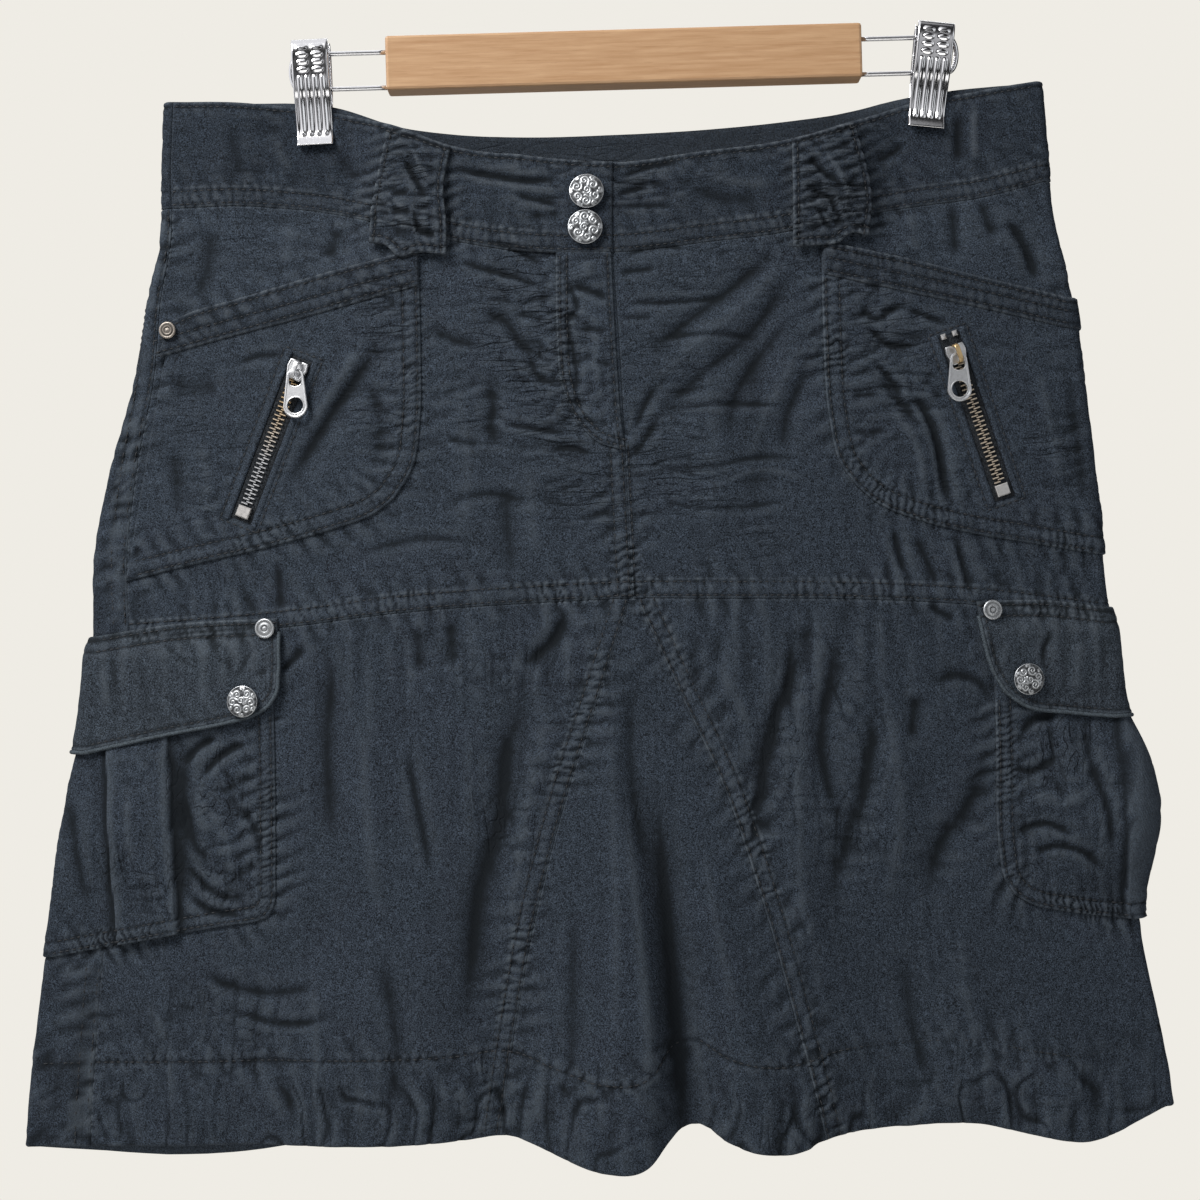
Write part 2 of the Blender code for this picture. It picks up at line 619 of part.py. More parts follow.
def cargo_lift(side):
    """The pouch's height off the skirt: sewn down at the sides and bottom, with a raised pleat."""
    spec = CARGO[side]
    (top_x, top_drop), (low_x, low_drop), half = spec["pleat"]
    edges = [point[0] for point in spec["outline"]]
    low, high = min(edges), max(edges)

    def lift(across, drop):
        share = np.clip((across - low) / (high - low), 0, 1)
        depth = np.clip((drop - PUFF_DROPS[0]) / (PUFF_DROPS[1] - PUFF_DROPS[0]), 0, 1)
        puff = spec["puff"] * np.sin(math.pi * share) ** 1.5 * np.sin(math.pi * depth) ** PUFF_POWER
        middle = top_x + (low_x - top_x) * (drop - top_drop) / (low_drop - top_drop)
        pleat = PLEAT_RISE * (1 - ramp(np.abs(across - middle), half - PLEAT_STEP, half + 0.01))
        return FIRST_PLY + puff + pleat

    return lift


def flap_lift(side):
    """The flap lies on the skirt at its seam, and over the pocket's pouch below."""
    pouch = cargo_lift(side)

    def lift(across, drop):
        over = ramp(drop, *FLAP_RISE)
        return FIRST_PLY + (pouch(across, drop) - FIRST_PLY + WALL + PLY_GAP + FLAP_EASE) * over

    return lift


def pleat_creases(side):
    """The lines where the pleat steps up and down."""
    (top_x, top_drop), (low_x, low_drop), half = CARGO[side]["pleat"]
    return [((top_x + offset, top_drop), (low_x + offset, low_drop))
            for offset in (-half, PLEAT_STEP - half, half - PLEAT_STEP, half)]


def make_cargo_pocket(side, group):
    spec = CARGO[side]
    columns = seam_columns(side)
    rows = stations(YOKE_SEAM, HEM_EDGE, ROWS)
    creases = pleat_creases(side)
    outline = rounded(spec["outline"], spec["outline_radii"], POUCH_STEPS)
    pocket = cut_grid(columns, rows, [outline], creases)
    sew(f"cargo_pocket_{side}", [pocket], cargo_lift(side), WALL, "cloth", group)
    mouth = (spec["outline"][-1], spec["outline"][0])
    flap = cut_grid(columns, rows, [flap_outline(side)], creases + [mouth])
    sew(f"flap_{side}", [flap], flap_lift(side), WALL, "flap", group)


def flap_outline(side):
    return rounded(CARGO[side]["flap"], CARGO[side]["flap_radii"], FLAP_STEPS)


def fold_columns(drop):
    """Across of the grid's lines round both side folds."""
    left, right = fold_starts(drop)
    steps = math.pi * FOLD_RADIUS / COLUMNS[LEFT_BACK]
    turns = range(COLUMNS[LEFT_BACK] + 1)
    return [left - i * steps for i in turns] + [right + i * steps for i in turns]


def edge_path(corners, spacing):
    """Points along a polyline on the cloth, with one on each grid line that rounds a side fold."""
    path = [corners[0]]
    for a, b in zip(corners, corners[1:]):
        turns = []
        for i in range(2 * (COLUMNS[LEFT_BACK] + 1)):
            share = 0.5
            for _ in range(4):
                line = float(fold_columns(a.y + (b.y - a.y) * share)[i])
                share = (line - a.x) / (b.x - a.x) if abs(b.x - a.x) > 1 else -1
            if 0 < share < 1:
                turns.append(share)
        pieces = max(1, round((b - a).length / spacing))
        margin = spacing / 3 / (b - a).length
        low, high = (min(turns) - margin, max(turns) + margin) if turns else (2, 2)
        even = [i / pieces for i in range(1, pieces + 1)]
        shares = turns + [share for share in even if share == 1 or not low < share < high]
        path += [a.lerp(b, share) for share in sorted(shares)]
    return path


def piping_strip(side):
    """The pattern of a covered cord along the flap's front edge, corner and lower edge."""
    outline = flap_outline(side)
    middle = sum((Vector(point) for point in outline), Vector((0, 0))) / len(outline)
    corners = [Vector(point) for point in outline[:PIPED_CORNERS[side]]]
    corners[0].y += PIPING_START
    path = edge_path(corners, PIPING_CELL)
    strip = bmesh.new()
    lines = []
    for i, point in enumerate(path):
        along = (path[min(i + 1, len(path) - 1)] - path[max(i - 1, 0)]).normalized()
        out = Vector((-along.y, along.x))
        out *= math.copysign(1, out.dot(point - middle))
        edges = (point + out * PLY_GAP, point + out * (PLY_GAP + PIPING_WIDTH))
        lines.append([strip.verts.new((p.x, -p.y, 0)) for p in edges])
    mirrored = side == "right"
    for (a, b), (c, d) in zip(lines, lines[1:]):
        strip.faces.new((a, b, d, c) if mirrored else (a, c, d, b))
    return strip


def make_piping(side, group):
    flap = flap_lift(side)
    sew(f"flap_piping_{side}", [piping_strip(side)], lambda across, drop: flap(across, drop) + PIPING_EASE,
        WALL, "piping", group)


def bowed(end_lift):
    """A belt loop's height: down at the waist's edge, off the band in the middle, down at its end."""
    def lift(across, drop):
        landing = (end_lift - FIRST_PLY) * ramp(drop, *LOOP_LANDING)
        bow = LOOP_BOW["rise"] * np.exp(-((drop - LOOP_BOW["drop"]) / LOOP_BOW["spread"]) ** 2)
        return FIRST_PLY + landing + bow
    return lift


def make_belt_loops(group):
    rows = np.append(stations(WAIST_EDGE, WAIST_SEAM, ROWS), LOOP_END_ROWS)
    for name, spec in BELT_LOOPS.items():
        flat = cut_grid(stations(*spec["columns"], COLUMNS), rows, [spec["outline"]])
        sew(f"belt_loop_{name}", [flat], bowed(LOOP_END_LIFT), WALL, "band", group)
    half = BACK_LOOP_HALF / COLUMNS[CENTRE_BACK_START]
    back = [cut_grid(np.array([CENTRE_BACK_START, half]), rows[:-1]),
            cut_grid(np.array([CENTRE_BACK_END - half, CENTRE_BACK_END]), rows[:-1])]
    sew("belt_loop_back", back, bowed(FIRST_PLY), WALL, "band", group)


# ---- Hard pieces ------------------------------------------------------------------------------

def turned(name, profile, steps, matrix, finish, group):
    """A button or a rivet: a profile from the axis at the top, outwards and down to the axis again."""
    points = [(x * MM, 0, z * MM) for x, z in profile]
    mesh = bpy.data.meshes.new(name)
    mesh.from_pydata(points, [(i, i + 1) for i in range(len(points) - 1)], [])
    piece = finished(name, mesh, finish, group)
    turn = piece.modifiers.new("turn", "SCREW")
    turn.steps = steps
    turn.render_steps = steps
    turn.use_merge_vertices = True
    turn.merge_threshold = MERGE
    piece.matrix_world = matrix
    return piece


def button_profile(radius):
    """A shallow dish with a rolled rim on a narrow shank."""
    return ((0, 3.0), (radius - 1.6, 2.9), (radius - 0.7, 3.3), (radius, 2.7), (radius - 0.4, 1.7),
            (radius * 0.45, 1.3), (radius * 0.4, 0), (0, 0))


def rivet_profile(radius):
    return ((0, 1.1), (1.5, 1.1), (1.9, 0.8), (radius - 1.1, 0.9), (radius, 0.4), (radius - 0.2, 0), (0, 0))


def flap_top(side, across, drop):
    """The height of a flap's outer face at a place, with a button's gap on it."""
    return float(flap_lift(side)(np.array(across), np.array(drop))) + WALL + BUTTON_GAP


def make_fastenings(group):
    waist = button_profile(WAIST_BUTTON_RADIUS)
    for name, at in WAIST_BUTTONS.items():
        matrix = frame_at(*at, FIRST_PLY + WALL + BUTTON_GAP)
        turned(f"waist_button_{name}", waist, 16, matrix, "pewter", group)
    for side in ("left", "right"):
        across, drop = FLAP_BUTTONS[side]
        matrix = frame_at(across, drop, flap_top(side, across, drop))
        turned(f"flap_button_{side}", button_profile(FLAP_BUTTON_RADIUS), 16, matrix, "pewter", group)
        across, drop = FLAP_RIVETS[side]
        matrix = frame_at(across, drop, flap_top(side, across, drop + RIVET_RADIUS) + PLY_EASE)
        turned(f"flap_rivet_{side}", rivet_profile(RIVET_RADIUS), 12, matrix, "pewter", group)
        matrix = frame_at(*HIP_RIVETS[side], SECOND_PLY + THIN_WALL + 2 * BUTTON_GAP)
        turned(f"hip_rivet_{side}", rivet_profile(HIP_RIVET_RADIUS), 12, matrix, "pewter", group)


def block(size, bevel):
    """A box in a bmesh, centred on its origin, with bevelled edges."""
    box = bmesh.new()
    bmesh.ops.create_cube(box, size=1)
    bmesh.ops.scale(box, verts=box.verts, vec=[side * MM for side in size])
    if bevel:
        bmesh.ops.bevel(box, geom=box.edges[:], offset=bevel * MM, segments=1, affect="EDGES")
    return box


def mesh_from(name, shape):
    """A mesh from a bmesh, which is freed."""
    mesh = bpy.data.meshes.new(name)
    shape.to_mesh(mesh)
    shape.free()
    return mesh


def make_zip_slider(side, group, cutters):
    """The slider lies on the tape; its bridge holds the pull, which turns on its own crossbar."""
    middle, lean = ZIPS[side]
    above_middle = ZIP_SLOT[1] - 2 * (SLIDER[1] / 2 + SLIDER_FROM_END[side])
    across, drop = turned_box(middle, lean, 0, above_middle)[0]
    matrix = frame_at(across, drop, FIRST_PLY + ZIP_TAPE_WALL + PLY_GAP + SLIDER[2] / 2, lean)
    slider = finished(f"zip_slider_{side}", mesh_from("slider", block(SLIDER, 0.5)), "zip_metal", group)
    slider.matrix_world = matrix
    inside = PULL_AXIS_HEIGHT + BRIDGE["roof"]
    height = inside + BRIDGE["wall"] + BRIDGE["sunk"]
    length = 2 * (BRIDGE["tunnel_half"] + BRIDGE["wall"])
    face = SLIDER[2] / 2
    bridge = block((BRIDGE["width"], length, height), 0.3)
    tunnel = block((BRIDGE["width"] * 3, 2 * BRIDGE["tunnel_half"], inside), 0)
    helpers = (
        ("bridge", "UNION", bridge, face + height / 2 - BRIDGE["sunk"]),
        ("tunnel", "DIFFERENCE", tunnel, face + inside / 2),
    )
    for name, operation, shape, rise in helpers:
        helper = add_cutter(f"{name}_{side}", shape, matrix @ Matrix.Translation((0, 0, rise * MM)), cutters)
        add_boolean(slider, operation, helper)
    make_zip_pull(side, matrix @ Vector((0, 0, (face + PULL_AXIS_HEIGHT) * MM)), matrix.to_3x3(), group)


def pull_outlines():
    """Rings of the pull in its own plane: the outside, the eye round the bridge, and the round hole."""
    at, hole, end, eye, shoulder = PULL.values()
    turn = [math.radians(a) for a in range(-160, -19, 20)]
    outside = [(shoulder, -3.2), (2.6, 0.2), (1.4, 0.65), (-1.4, 0.65), (-2.6, 0.2), (-shoulder, -3.2)]
    outside += [(end * math.cos(a), at + end * math.sin(a)) for a in turn]
    inside = [(1.1, -0.6), (-1.1, -0.6), (-eye, -2.2), (-eye, -6.2), (-1.6, -7.3), (1.6, -7.3),
              (eye, -6.2), (eye, -2.2)]
    turn = [math.radians(a) for a in range(0, 360, 30)]
    return outside, inside, [(hole * math.cos(a), at + hole * math.sin(a)) for a in turn]


def make_zip_pull(side, axis_point, slider_turn, group):
    """A flat tab that hangs from the bridge; its origin is the middle of its crossbar."""
    curve = bpy.data.curves.new("pull_outline", "CURVE")
    curve.dimensions = "2D"
    curve.fill_mode = "BOTH"
    curve.extrude = PULL_THICKNESS / 2 * MM
    for ring in pull_outlines():
        spline = curve.splines.new("POLY")
        spline.points.add(len(ring) - 1)
        spline.use_cyclic_u = True
        for point, (x, y) in zip(spline.points, ring):
            point.co = (x * MM, y * MM, 0, 1)
    source = bpy.data.objects.new("pull_outline", curve)
    group.objects.link(source)
    bpy.context.view_layer.update()
    mesh = bpy.data.meshes.new_from_object(source.evaluated_get(bpy.context.evaluated_depsgraph_get()))
    bpy.data.objects.remove(source)
    loose = bmesh.new()
    loose.from_mesh(mesh)
    bpy.data.meshes.remove(mesh)
    bmesh.ops.remove_doubles(loose, verts=loose.verts, dist=MERGE)
    bmesh.ops.recalc_face_normals(loose, faces=loose.faces)
    name = f"zip_pull_{side}"
    pull = finished(name, mesh_from(name, loose), "zip_metal", group)
    out = (slider_turn @ Vector((0, 0, 1))).normalized()
    along_axis = Vector((0, 0, 1)).cross(out).normalized()
    turn = Matrix((along_axis, out.cross(along_axis), out)).transposed().to_4x4()
    pull.matrix_world = Matrix.Translation(axis_point) @ turn


def tube(name, points, radius, finish, group):
    """A wire through the given points."""
    curve = bpy.data.curves.new(name, "CURVE")
    curve.dimensions = "3D"
    curve.bevel_depth = radius * MM
    curve.bevel_resolution = 1
    curve.use_fill_caps = True
    spline = curve.splines.new("POLY")
    spline.points.add(len(points) - 1)
    for point, place_mm in zip(spline.points, points):
        point.co = (*(Vector(place_mm) * MM), 1)
    wire = bpy.data.objects.new(name, curve)
    curve.materials.append(material(finish))
    group.objects.link(wire)
    return wire


def make_clip(side, face, group):
    """One jaw of a clip, front (-1) or back (1), pressed from sheet steel."""
    x, lean = CLIPS[side]
    half = CLIP_WIDTH / 2 - CLIP_PLATE
    sheet = bmesh.new()
    lines = []
    for drop, stand, wall in zip(*CLIP_PROFILE.values()):
        section = ((-half, stand - wall), (-half, stand), (-half / 3, stand), (half / 3, stand),
                   (half, stand), (half, stand - wall))
        lines.append([sheet.verts.new((a * MM, face * b * MM, -drop * MM)) for a, b in section])
    for upper, lower in zip(lines, lines[1:]):
        for i in range(len(upper) - 1):
            corners = (lower[i], lower[i + 1], upper[i + 1], upper[i])
            sheet.faces.new(corners if face < 0 else corners[::-1])
    name = f"clip_{'front' if face < 0 else 'back'}_{side}"
    jaw = finished(name, mesh_from(name, sheet), "chrome", group)
    wall = jaw.modifiers.new("plate", "SOLIDIFY")
    wall.thickness = CLIP_PLATE * MM
    wall.offset = 1
    wall.use_even_offset = True
    jaw.matrix_world = Matrix.Translation((x * MM, 0, 0)) @ Matrix.Rotation(math.radians(lean), 4, "Y")


def make_hanger(group):
    piece = finished("hanger_bar", mesh_from("hanger_bar", block(BAR, 0)), "wood", group)
    piece.location = (0, 0, -BAR[2] / 2 * MM)
    edge = piece.modifiers.new("edge", "BEVEL")
    edge.width = BAR_EDGE * MM
    edge.segments = 2
    edge.limit_method = "ANGLE"
    for side, (x, _) in CLIPS.items():
        out = math.copysign(1, x)
        start = out * (BAR[0] / 2 + PLY_GAP)
        top, bottom = WIRE_DROPS
        bend = x + out * (CLIP_WIDTH / 2 - WIRE_HOLE_IN)
        middle, half = (top + bottom) / 2, (bottom - top) / 2
        arc = [(bend + out * WIRE_BEND * math.sin(a), 0, -middle + half * math.cos(a))
               for a in (math.pi * i / 8 for i in range(9))]
        tube(f"hanger_wire_{side}", [(start, 0, -top)] + arc + [(start, 0, -bottom)], WIRE_RADIUS,
             "chrome", group)
        make_clip(side, -1, group)
        make_clip(side, 1, group)


def clear_scene():
    for thing in list(bpy.data.objects):
        bpy.data.objects.remove(thing)


def main():
    clear_scene()
    group = collection(COLLECTION_NAME)
    cutters = collection("cutters")
    make_waistband(group)
    make_body(group)
    make_fly(group)
    for side in ("left", "right"):
        make_hip_pocket(side, group, cutters)
        make_cargo_pocket(side, group)
        make_piping(side, group)
        make_zip_slider(side, group, cutters)
    make_belt_loops(group)
    make_fastenings(group)
    make_hanger(group)


main()
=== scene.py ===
"""The looks of a cargo skirt on its clip hanger: creased cloth shells with puckered seams and stitching,
the zips, buttons, rivets and clips, and a plain studio round them.

The frame is in metres. Tables and sizes here are in millimetres, and two measures place everything on
the cloth, as on the pattern of the skirt:
  across  the distance to the right along the front, which runs on round each side fold to the back
  drop    the distance below the top face of the hanger's bar
"""

import math
from collections import namedtuple

import bpy
import numpy as np
from mathutils import Matrix, Vector


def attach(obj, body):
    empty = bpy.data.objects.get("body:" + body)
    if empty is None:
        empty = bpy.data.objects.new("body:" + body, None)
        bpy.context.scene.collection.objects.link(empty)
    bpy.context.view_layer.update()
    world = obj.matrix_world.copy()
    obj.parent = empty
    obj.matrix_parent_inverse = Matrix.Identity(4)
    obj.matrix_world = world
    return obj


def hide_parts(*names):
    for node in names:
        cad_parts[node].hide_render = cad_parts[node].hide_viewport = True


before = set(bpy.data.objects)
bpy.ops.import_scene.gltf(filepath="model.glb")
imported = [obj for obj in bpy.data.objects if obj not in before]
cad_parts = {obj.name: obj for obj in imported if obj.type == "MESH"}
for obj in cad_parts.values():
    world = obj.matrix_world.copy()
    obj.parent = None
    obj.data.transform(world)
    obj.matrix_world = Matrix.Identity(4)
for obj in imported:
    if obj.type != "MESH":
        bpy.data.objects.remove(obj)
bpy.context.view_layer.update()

MM = 0.001
SIDES = ("left", "right")
ROUND = ((-1, -1), (1, -1), (1, 1), (-1, 1))    # a box's corners in turn

# Cloth
WALL = 1.2              # one ply with its turned-in edge
FOLD_RADIUS = 2.6       # inside of the turn at each side of the hanging skirt
HALF_TURN = math.pi * FOLD_RADIUS   # the run of the cloth round a side fold
FOLD_REACH = FOLD_RADIUS + WALL
CROWN_POWER = 1.3       # how quickly the layers part, inwards from the side folds
FIRST_PLY = 1.5         # inner face of a piece that lies on the skirt
SECOND_PLY = 2.9        # inner face of a piece that lies on such a piece
SEATING = 0.35          # how far a piece sinks into the cloth under it, so that its edge sits down
OVERLAP_RISE = (-62.0, -48.0)   # across, where the waistband's buttoned end rises over its other end
FOLD_FADE = 30.0
FOLD_EASING = 1.4

# Grids of the cloth shells
CELL = 1.08
BACK_CELL = 2.7
FINE_CELL = 0.8
EDGE_ROLL = 1.1         # over this distance a free edge rolls down to what is under it
INNER_STEP = 3          # the inner face keeps every third line of the outer face's grid
SEAM_INSET = -0.15      # of a panel's edge from the seam's line: the edges press into each other

# Hanger
BAR_WIDTH = 213.0
WIRE_RADIUS = 1.25
WIRE_DROPS = (5.8, 21.7)
CLIP_WIDTH = 16.4
CLIP_PLATE = 0.8
CLIPS = {"left": (-140.6, -1.5), "right": (140.6, 7.2)}     # middle of the top, lean in degrees
GRIP_DROPS = (48.0, 125.0)
GRIP_HALF_WIDTHS = (11.0, 44.0)
GRIP_DROP = 40.0
GRIP_GAP = 0.2
WIRE_BEND = 3.9
WIRE_HOLE_IN = 3.0

# Fastenings
BUTTON_GAP = 0.5
WAIST_BUTTON_RADIUS = 7.7
FLAP_BUTTON_RADIUS = 7.0
RIVET_RADIUS = 4.5
HIP_RIVET_RADIUS = 3.9
ZIP_SLOT = (11.0, 78.0)
ZIP_TAPE_WALL = 0.8
SLIDER = (9.4, 8.8, 2.2)
SLIDER_FROM_END = {"left": 2.1, "right": 5.4}
PULL_AXIS_HEIGHT = 1.6
PULL_THICKNESS = 1.0
PULL = {"hole_at": -15.8, "hole": 3.5, "end": 5.6, "eye_half": 2.7, "shoulder": 4.0}


def table(names, rows):
    """Rows of numbers as one array for each named column."""
    return dict(zip(names.split(), np.array(rows, float).T))


# The hanging skirt's side folds, and how far the front and back bulge from the middle plane.
SECTIONS = table("drop left right front back", (
    (25, -207.5, 188, 6, 6),
    (60, -209.5, 190, 11, 8),
    (85, -210, 191, 14, 10),
    (115, -217, 197, 16, 13),
    (150, -224, 201, 18, 16),
    (190, -236, 205, 20, 19),
    (230, -244.5, 208.5, 22, 22),
    (270, -246.5, 211, 24, 25),
    (310, -251.5, 214.5, 26, 28),
    (360, -261, 217, 29, 31),
    (410, -271.5, 221.5, 31, 34),
    (460, -279, 230.5, 33, 36),
    (500, -284, 236, 34, 37),
))

# Edges that run round the body. Front and back agree at the side folds.
WAISTLINE = table("x front_top back_top front_seam back_seam", (
    (-208, 26, 26, 74, 74),
    (-165, 28, 27, 74.5, 74),
    (-131, 32.5, 30, 79, 77),
    (-106, 39.5, 37.5, 86, 83),
    (-78, 51, 42, 94, 88),
    (-45, 57, 44, 100, 90),
    (-8, 61, 44, 101.5, 90),
    (33, 57, 43, 98, 89),
    (73, 52, 40.5, 93.5, 87),
    (105, 43, 37, 86.5, 83),
    (127, 36, 33, 83, 79),
    (160, 31, 29, 79, 76),
    (190, 27, 27, 72, 72),
))
YOKE = table("x front back", (
    (-250, 268, 268), (-157, 263, 268), (-105, 258, 268), (-35, 255, 268), (0, 254.5, 268),
    (35, 255.5, 268), (97, 257.5, 268), (154, 262, 269), (213, 270.5, 270.5),
))
HEM = table("x front back", (
    (-283, 493, 493), (-249, 492, 498), (-190, 491, 505), (-150, 490, 500), (-87, 489, 496),
    (-60, 487.5, 495), (-42, 494, 495), (-22, 500, 494), (-3, 498, 494), (9, 487, 494),
    (20, 484.5, 494), (31, 491, 494), (56, 497, 494), (83, 492, 494), (112, 490.5, 493),
    (144, 491, 492), (170, 497, 491), (194, 500.5, 490), (210, 497, 489), (235, 487, 487),
))

# Seams that run down the body. The left side seam shows on the front, side_in from the left fold, and
# the right one lies as far in on the back.
SIDE_SEAMS = table("drop side_in centre_back", (
    (25, 5, -14), (74, 5, -15), (115, 6.5, -18), (150, 9.5, -21), (230, 16, -28),
    (270, 18, -31), (400, 27, -45), (500, 32, -56),
))
FLY_EDGE = table("drop x", ((60, -6.5), (100, -7.5), (136, -6), (190, -4.5), (258, -3)))
GODET = table("drop left right", (
    (256, -4.8, -0.8), (297, -19, 16.5), (335, -32.5, 33), (388, -48, 49.5),
    (449, -61, 64.5), (500, -70, 76.5),
))

# Soft folds that open towards the hem: side is 1 on the front and -1 on the back.
FOLDS = table("side x_start x_hem width_start width_hem depth start", (
    (1, -5, -13, 22, 30, 15, 262),
    (1, 14, 18, 9, 12, -13, 350),
    (1, 34, 47, 16, 24, 8, 330),
    (1, 92, 108, 24, 30, -7, 330),
    (1, 150, 186, 22, 24, 6, 400),
    (1, -58, -72, 18, 18, -6, 300),
    (1, -110, -128, 26, 30, 4, 300),
    (1, -150, -182, 20, 20, -4, 380),
    (-1, -168, -190, 24, 28, 7, 300),
    (-1, -110, -128, 22, 26, -8, 300),
    (-1, -56, -66, 24, 30, 9, 290),
    (-1, -4, -2, 24, 26, -9, 320),
    (-1, 50, 62, 24, 30, 8, 290),
    (-1, 104, 124, 22, 26, -7, 310),
    (-1, 148, 172, 20, 24, 5, 340),
))

# Column stations round the body, and row stations down it. Those left out are the ends of the side folds.
CENTRE_BACK_START, SIDE_LEFT, CENTRE_LEFT, CENTRE_RIGHT, SIDE_RIGHT, CENTRE_BACK_END = 0, 3, 4, 5, 8, 9
WAIST_EDGE, WAIST_SEAM, YOKE_SEAM, HEM_EDGE = -1, 0, 1, 2
USUAL_DROPS = (35, 85, 262, 493)
FOLD_CELLS = 3          # a side fold has this many times the lines of a flat stretch

INNER_EDGE = {"left": "right", "right": "left"}     # of a piece, nearer the middle of the skirt
INWARD = {"left": -1, "right": 1}                   # the sign of an offset into a piece from that edge

# Patterns of the pieces that lie on the body, each by its four edges in (across, drop).
HIP_POCKETS = {
    "left": {
        "top": [(-205.5, 124.5), (-197, 121.3), (-173, 115.5), (-138, 107), (-93.3, 97)],
        "right": [(-93.3, 97), (-93.3, 142), (-94.2, 172), (-98.5, 195), (-106.5, 207.5)],
        "bottom": [(-229, 240.6), (-198, 234), (-160, 226.6), (-131, 219.3), (-117, 214.8), (-106.5, 207.5)],
        "left": [(-205.5, 124.5), (-213, 160), (-221, 200), (-229, 240.6)],
        "band": {"top": [(-205, 124.6), (-197, 121.6), (-173, 115.8), (-138, 107.3), (-93.6, 97.4)],
                 "bottom": [(-212.4, 141), (-186, 134.8), (-138.5, 124.4), (-93.6, 113.8)]},
    },
    "right": {
        "top": [(85, 98.5), (125, 107.3), (155, 115), (184, 122), (205, 127.6)],
        "left": [(85, 98.5), (84.5, 142), (86, 178), (90, 197), (96.5, 207)],
        "bottom": [(96.5, 207), (106, 215.3), (122, 222.4), (149, 229.8), (177, 235), (207.5, 240.6),
                   (216, 241.6)],
        "right": [(205, 127.6), (209, 160), (213, 200), (216, 241.6)],
        "band": {"top": [(85.4, 98.9), (125, 107.6), (155, 115.3), (184, 122.3), (205, 128)],
                 "bottom": [(85.4, 113.5), (100, 117), (153, 128.8), (198, 139.4), (207, 141.3)]},
    },
}
ZIPS = {"left": ((-160.9, 179.7), 22.3), "right": ((152.3, 178.0), -17.5)}  # middle, lean in degrees
CARGO = {
    "left": {
        "edges": (-163, -297.5),
        "pouch": {"top": [(-297.5, 284), (-163, 276)],
                  "right": [(-163, 276), (-162.6, 330), (-163.2, 372), (-163.8, 384), (-166.6, 390)],
                  "bottom": [(-297.5, 413), (-254, 405.7), (-222, 400.2), (-182, 393.6), (-173, 392.4),
                             (-166.6, 390)],
                  "left": [(-297.5, 284), (-297.5, 413)]},
        "flap": {"top": [(-300, 271.5), (-248, 265.4), (-206, 260.2), (-160, 258.9)],
                 "right": [(-160, 258.9), (-159.9, 283), (-160.8, 291.5), (-164.4, 297)],
                 "bottom": [(-300, 324.5), (-262, 318.5), (-211, 308.9), (-180, 303.4), (-171, 301),
                            (-164.4, 297)],
                 "left": [(-300, 271.5), (-300, 324.5)]},
        "pleat": ((-225.5, 300), (-221.5, 405), 14.5),
        "pleat_shows": (310, 322),
        "puff": 4.0,
    },
    "right": {
        "edges": (156, 293),
        "pouch": {"top": [(157, 278), (293, 285)],
                  "left": [(157, 278), (156.4, 330), (156.4, 372), (158.4, 384), (163, 391)],
                  "bottom": [(163, 391), (171, 395.6), (186, 399.3), (221, 404.5), (293, 409)],
                  "right": [(293, 285), (293, 409)]},
        "flap": {"top": [(149.5, 260), (181, 260.4), (210, 264.4), (295.5, 269.5)],
                 "left": [(149.5, 260), (151.4, 275), (155.2, 290), (160.5, 300)],
                 "bottom": [(160.5, 300), (169, 306.3), (190, 310.2), (222, 313.4), (295.5, 319.5)],
                 "right": [(295.5, 269.5), (295.5, 319.5)]},
        "pleat": ((226, 300), (227.5, 405), 14.5),
        "pleat_shows": (313, 325),
        "puff": 12.0,
    },
}
PUFF_DROPS = (300, 404)
PUFF_POWER = 1.8
FLAP_RISE = (261, 275)
PLEAT_RISE = 2.4
PLEAT_STEP = 0.7
PLEAT_TOP = 0.45        # share of the pleat's rise under the flap
FLAP_CLEAR = 2.4        # from the pouch's inner face to the flap's
PIPING_RADIUS = 0.95
PIPING_RISE = 0.75      # of the cord's middle over the flap's inner face
FLY = {"top": [(-32.6, 100.2), (-8.2, 101.4)],
       "right": [(-8.2, 101.4), (-7.6, 132), (-7, 152), (-6.2, 172), (-4.6, 189.6)],
       "bottom": [(-25.4, 176.4), (-16.3, 185.6), (-4.6, 189.6)],
       "left": [(-32.6, 100.2), (-33, 140), (-32, 158), (-25.4, 176.4)]}
BELT_LOOPS = {
    "front_left": {"top": [(-105.5, 41), (-78, 52)],
                   "right": [(-78, 52), (-81.2, 70), (-80.2, 88), (-80.6, 101)],
                   "bottom": [(-114.4, 94.2), (-107, 95.6), (-101, 101.6), (-93.5, 99.6), (-80.6, 101)],
                   "left": [(-105.5, 41), (-108, 54), (-111, 70), (-114.4, 94.2)]},
    "front_right": {"top": [(73.4, 53), (101.4, 45)],
                    "right": [(101.4, 45), (104.6, 62), (106.6, 80), (105.2, 97.4)],
                    "bottom": [(71.8, 101.6), (82, 101), (92, 100), (98, 95.6), (105.2, 97.4)],
                    "left": [(73.4, 53), (72.6, 75), (71.8, 101.6)]},
}
BACK_LOOP_HALF = 13.5
LOOP_END_LIFT = 4.2
LOOP_LANDING = (60, 90)
LOOP_BOW = {"rise": 2.0, "drop": 68, "spread": 16}

# Places of the buttons and rivets as (across, drop).
WAIST_BUTTONS = {"upper": (-18.3, 75), "lower": (-19.3, 90.8)}
FLAP_BUTTONS = {"left": (-175, 295.4), "right": (170.4, 295.3)}
FLAP_RIVETS = {"left": (-165, 263.4), "right": (155.7, 264.1)}
HIP_RIVETS = {"left": (-206.5, 129.2), "right": (203.6, 134.5)}

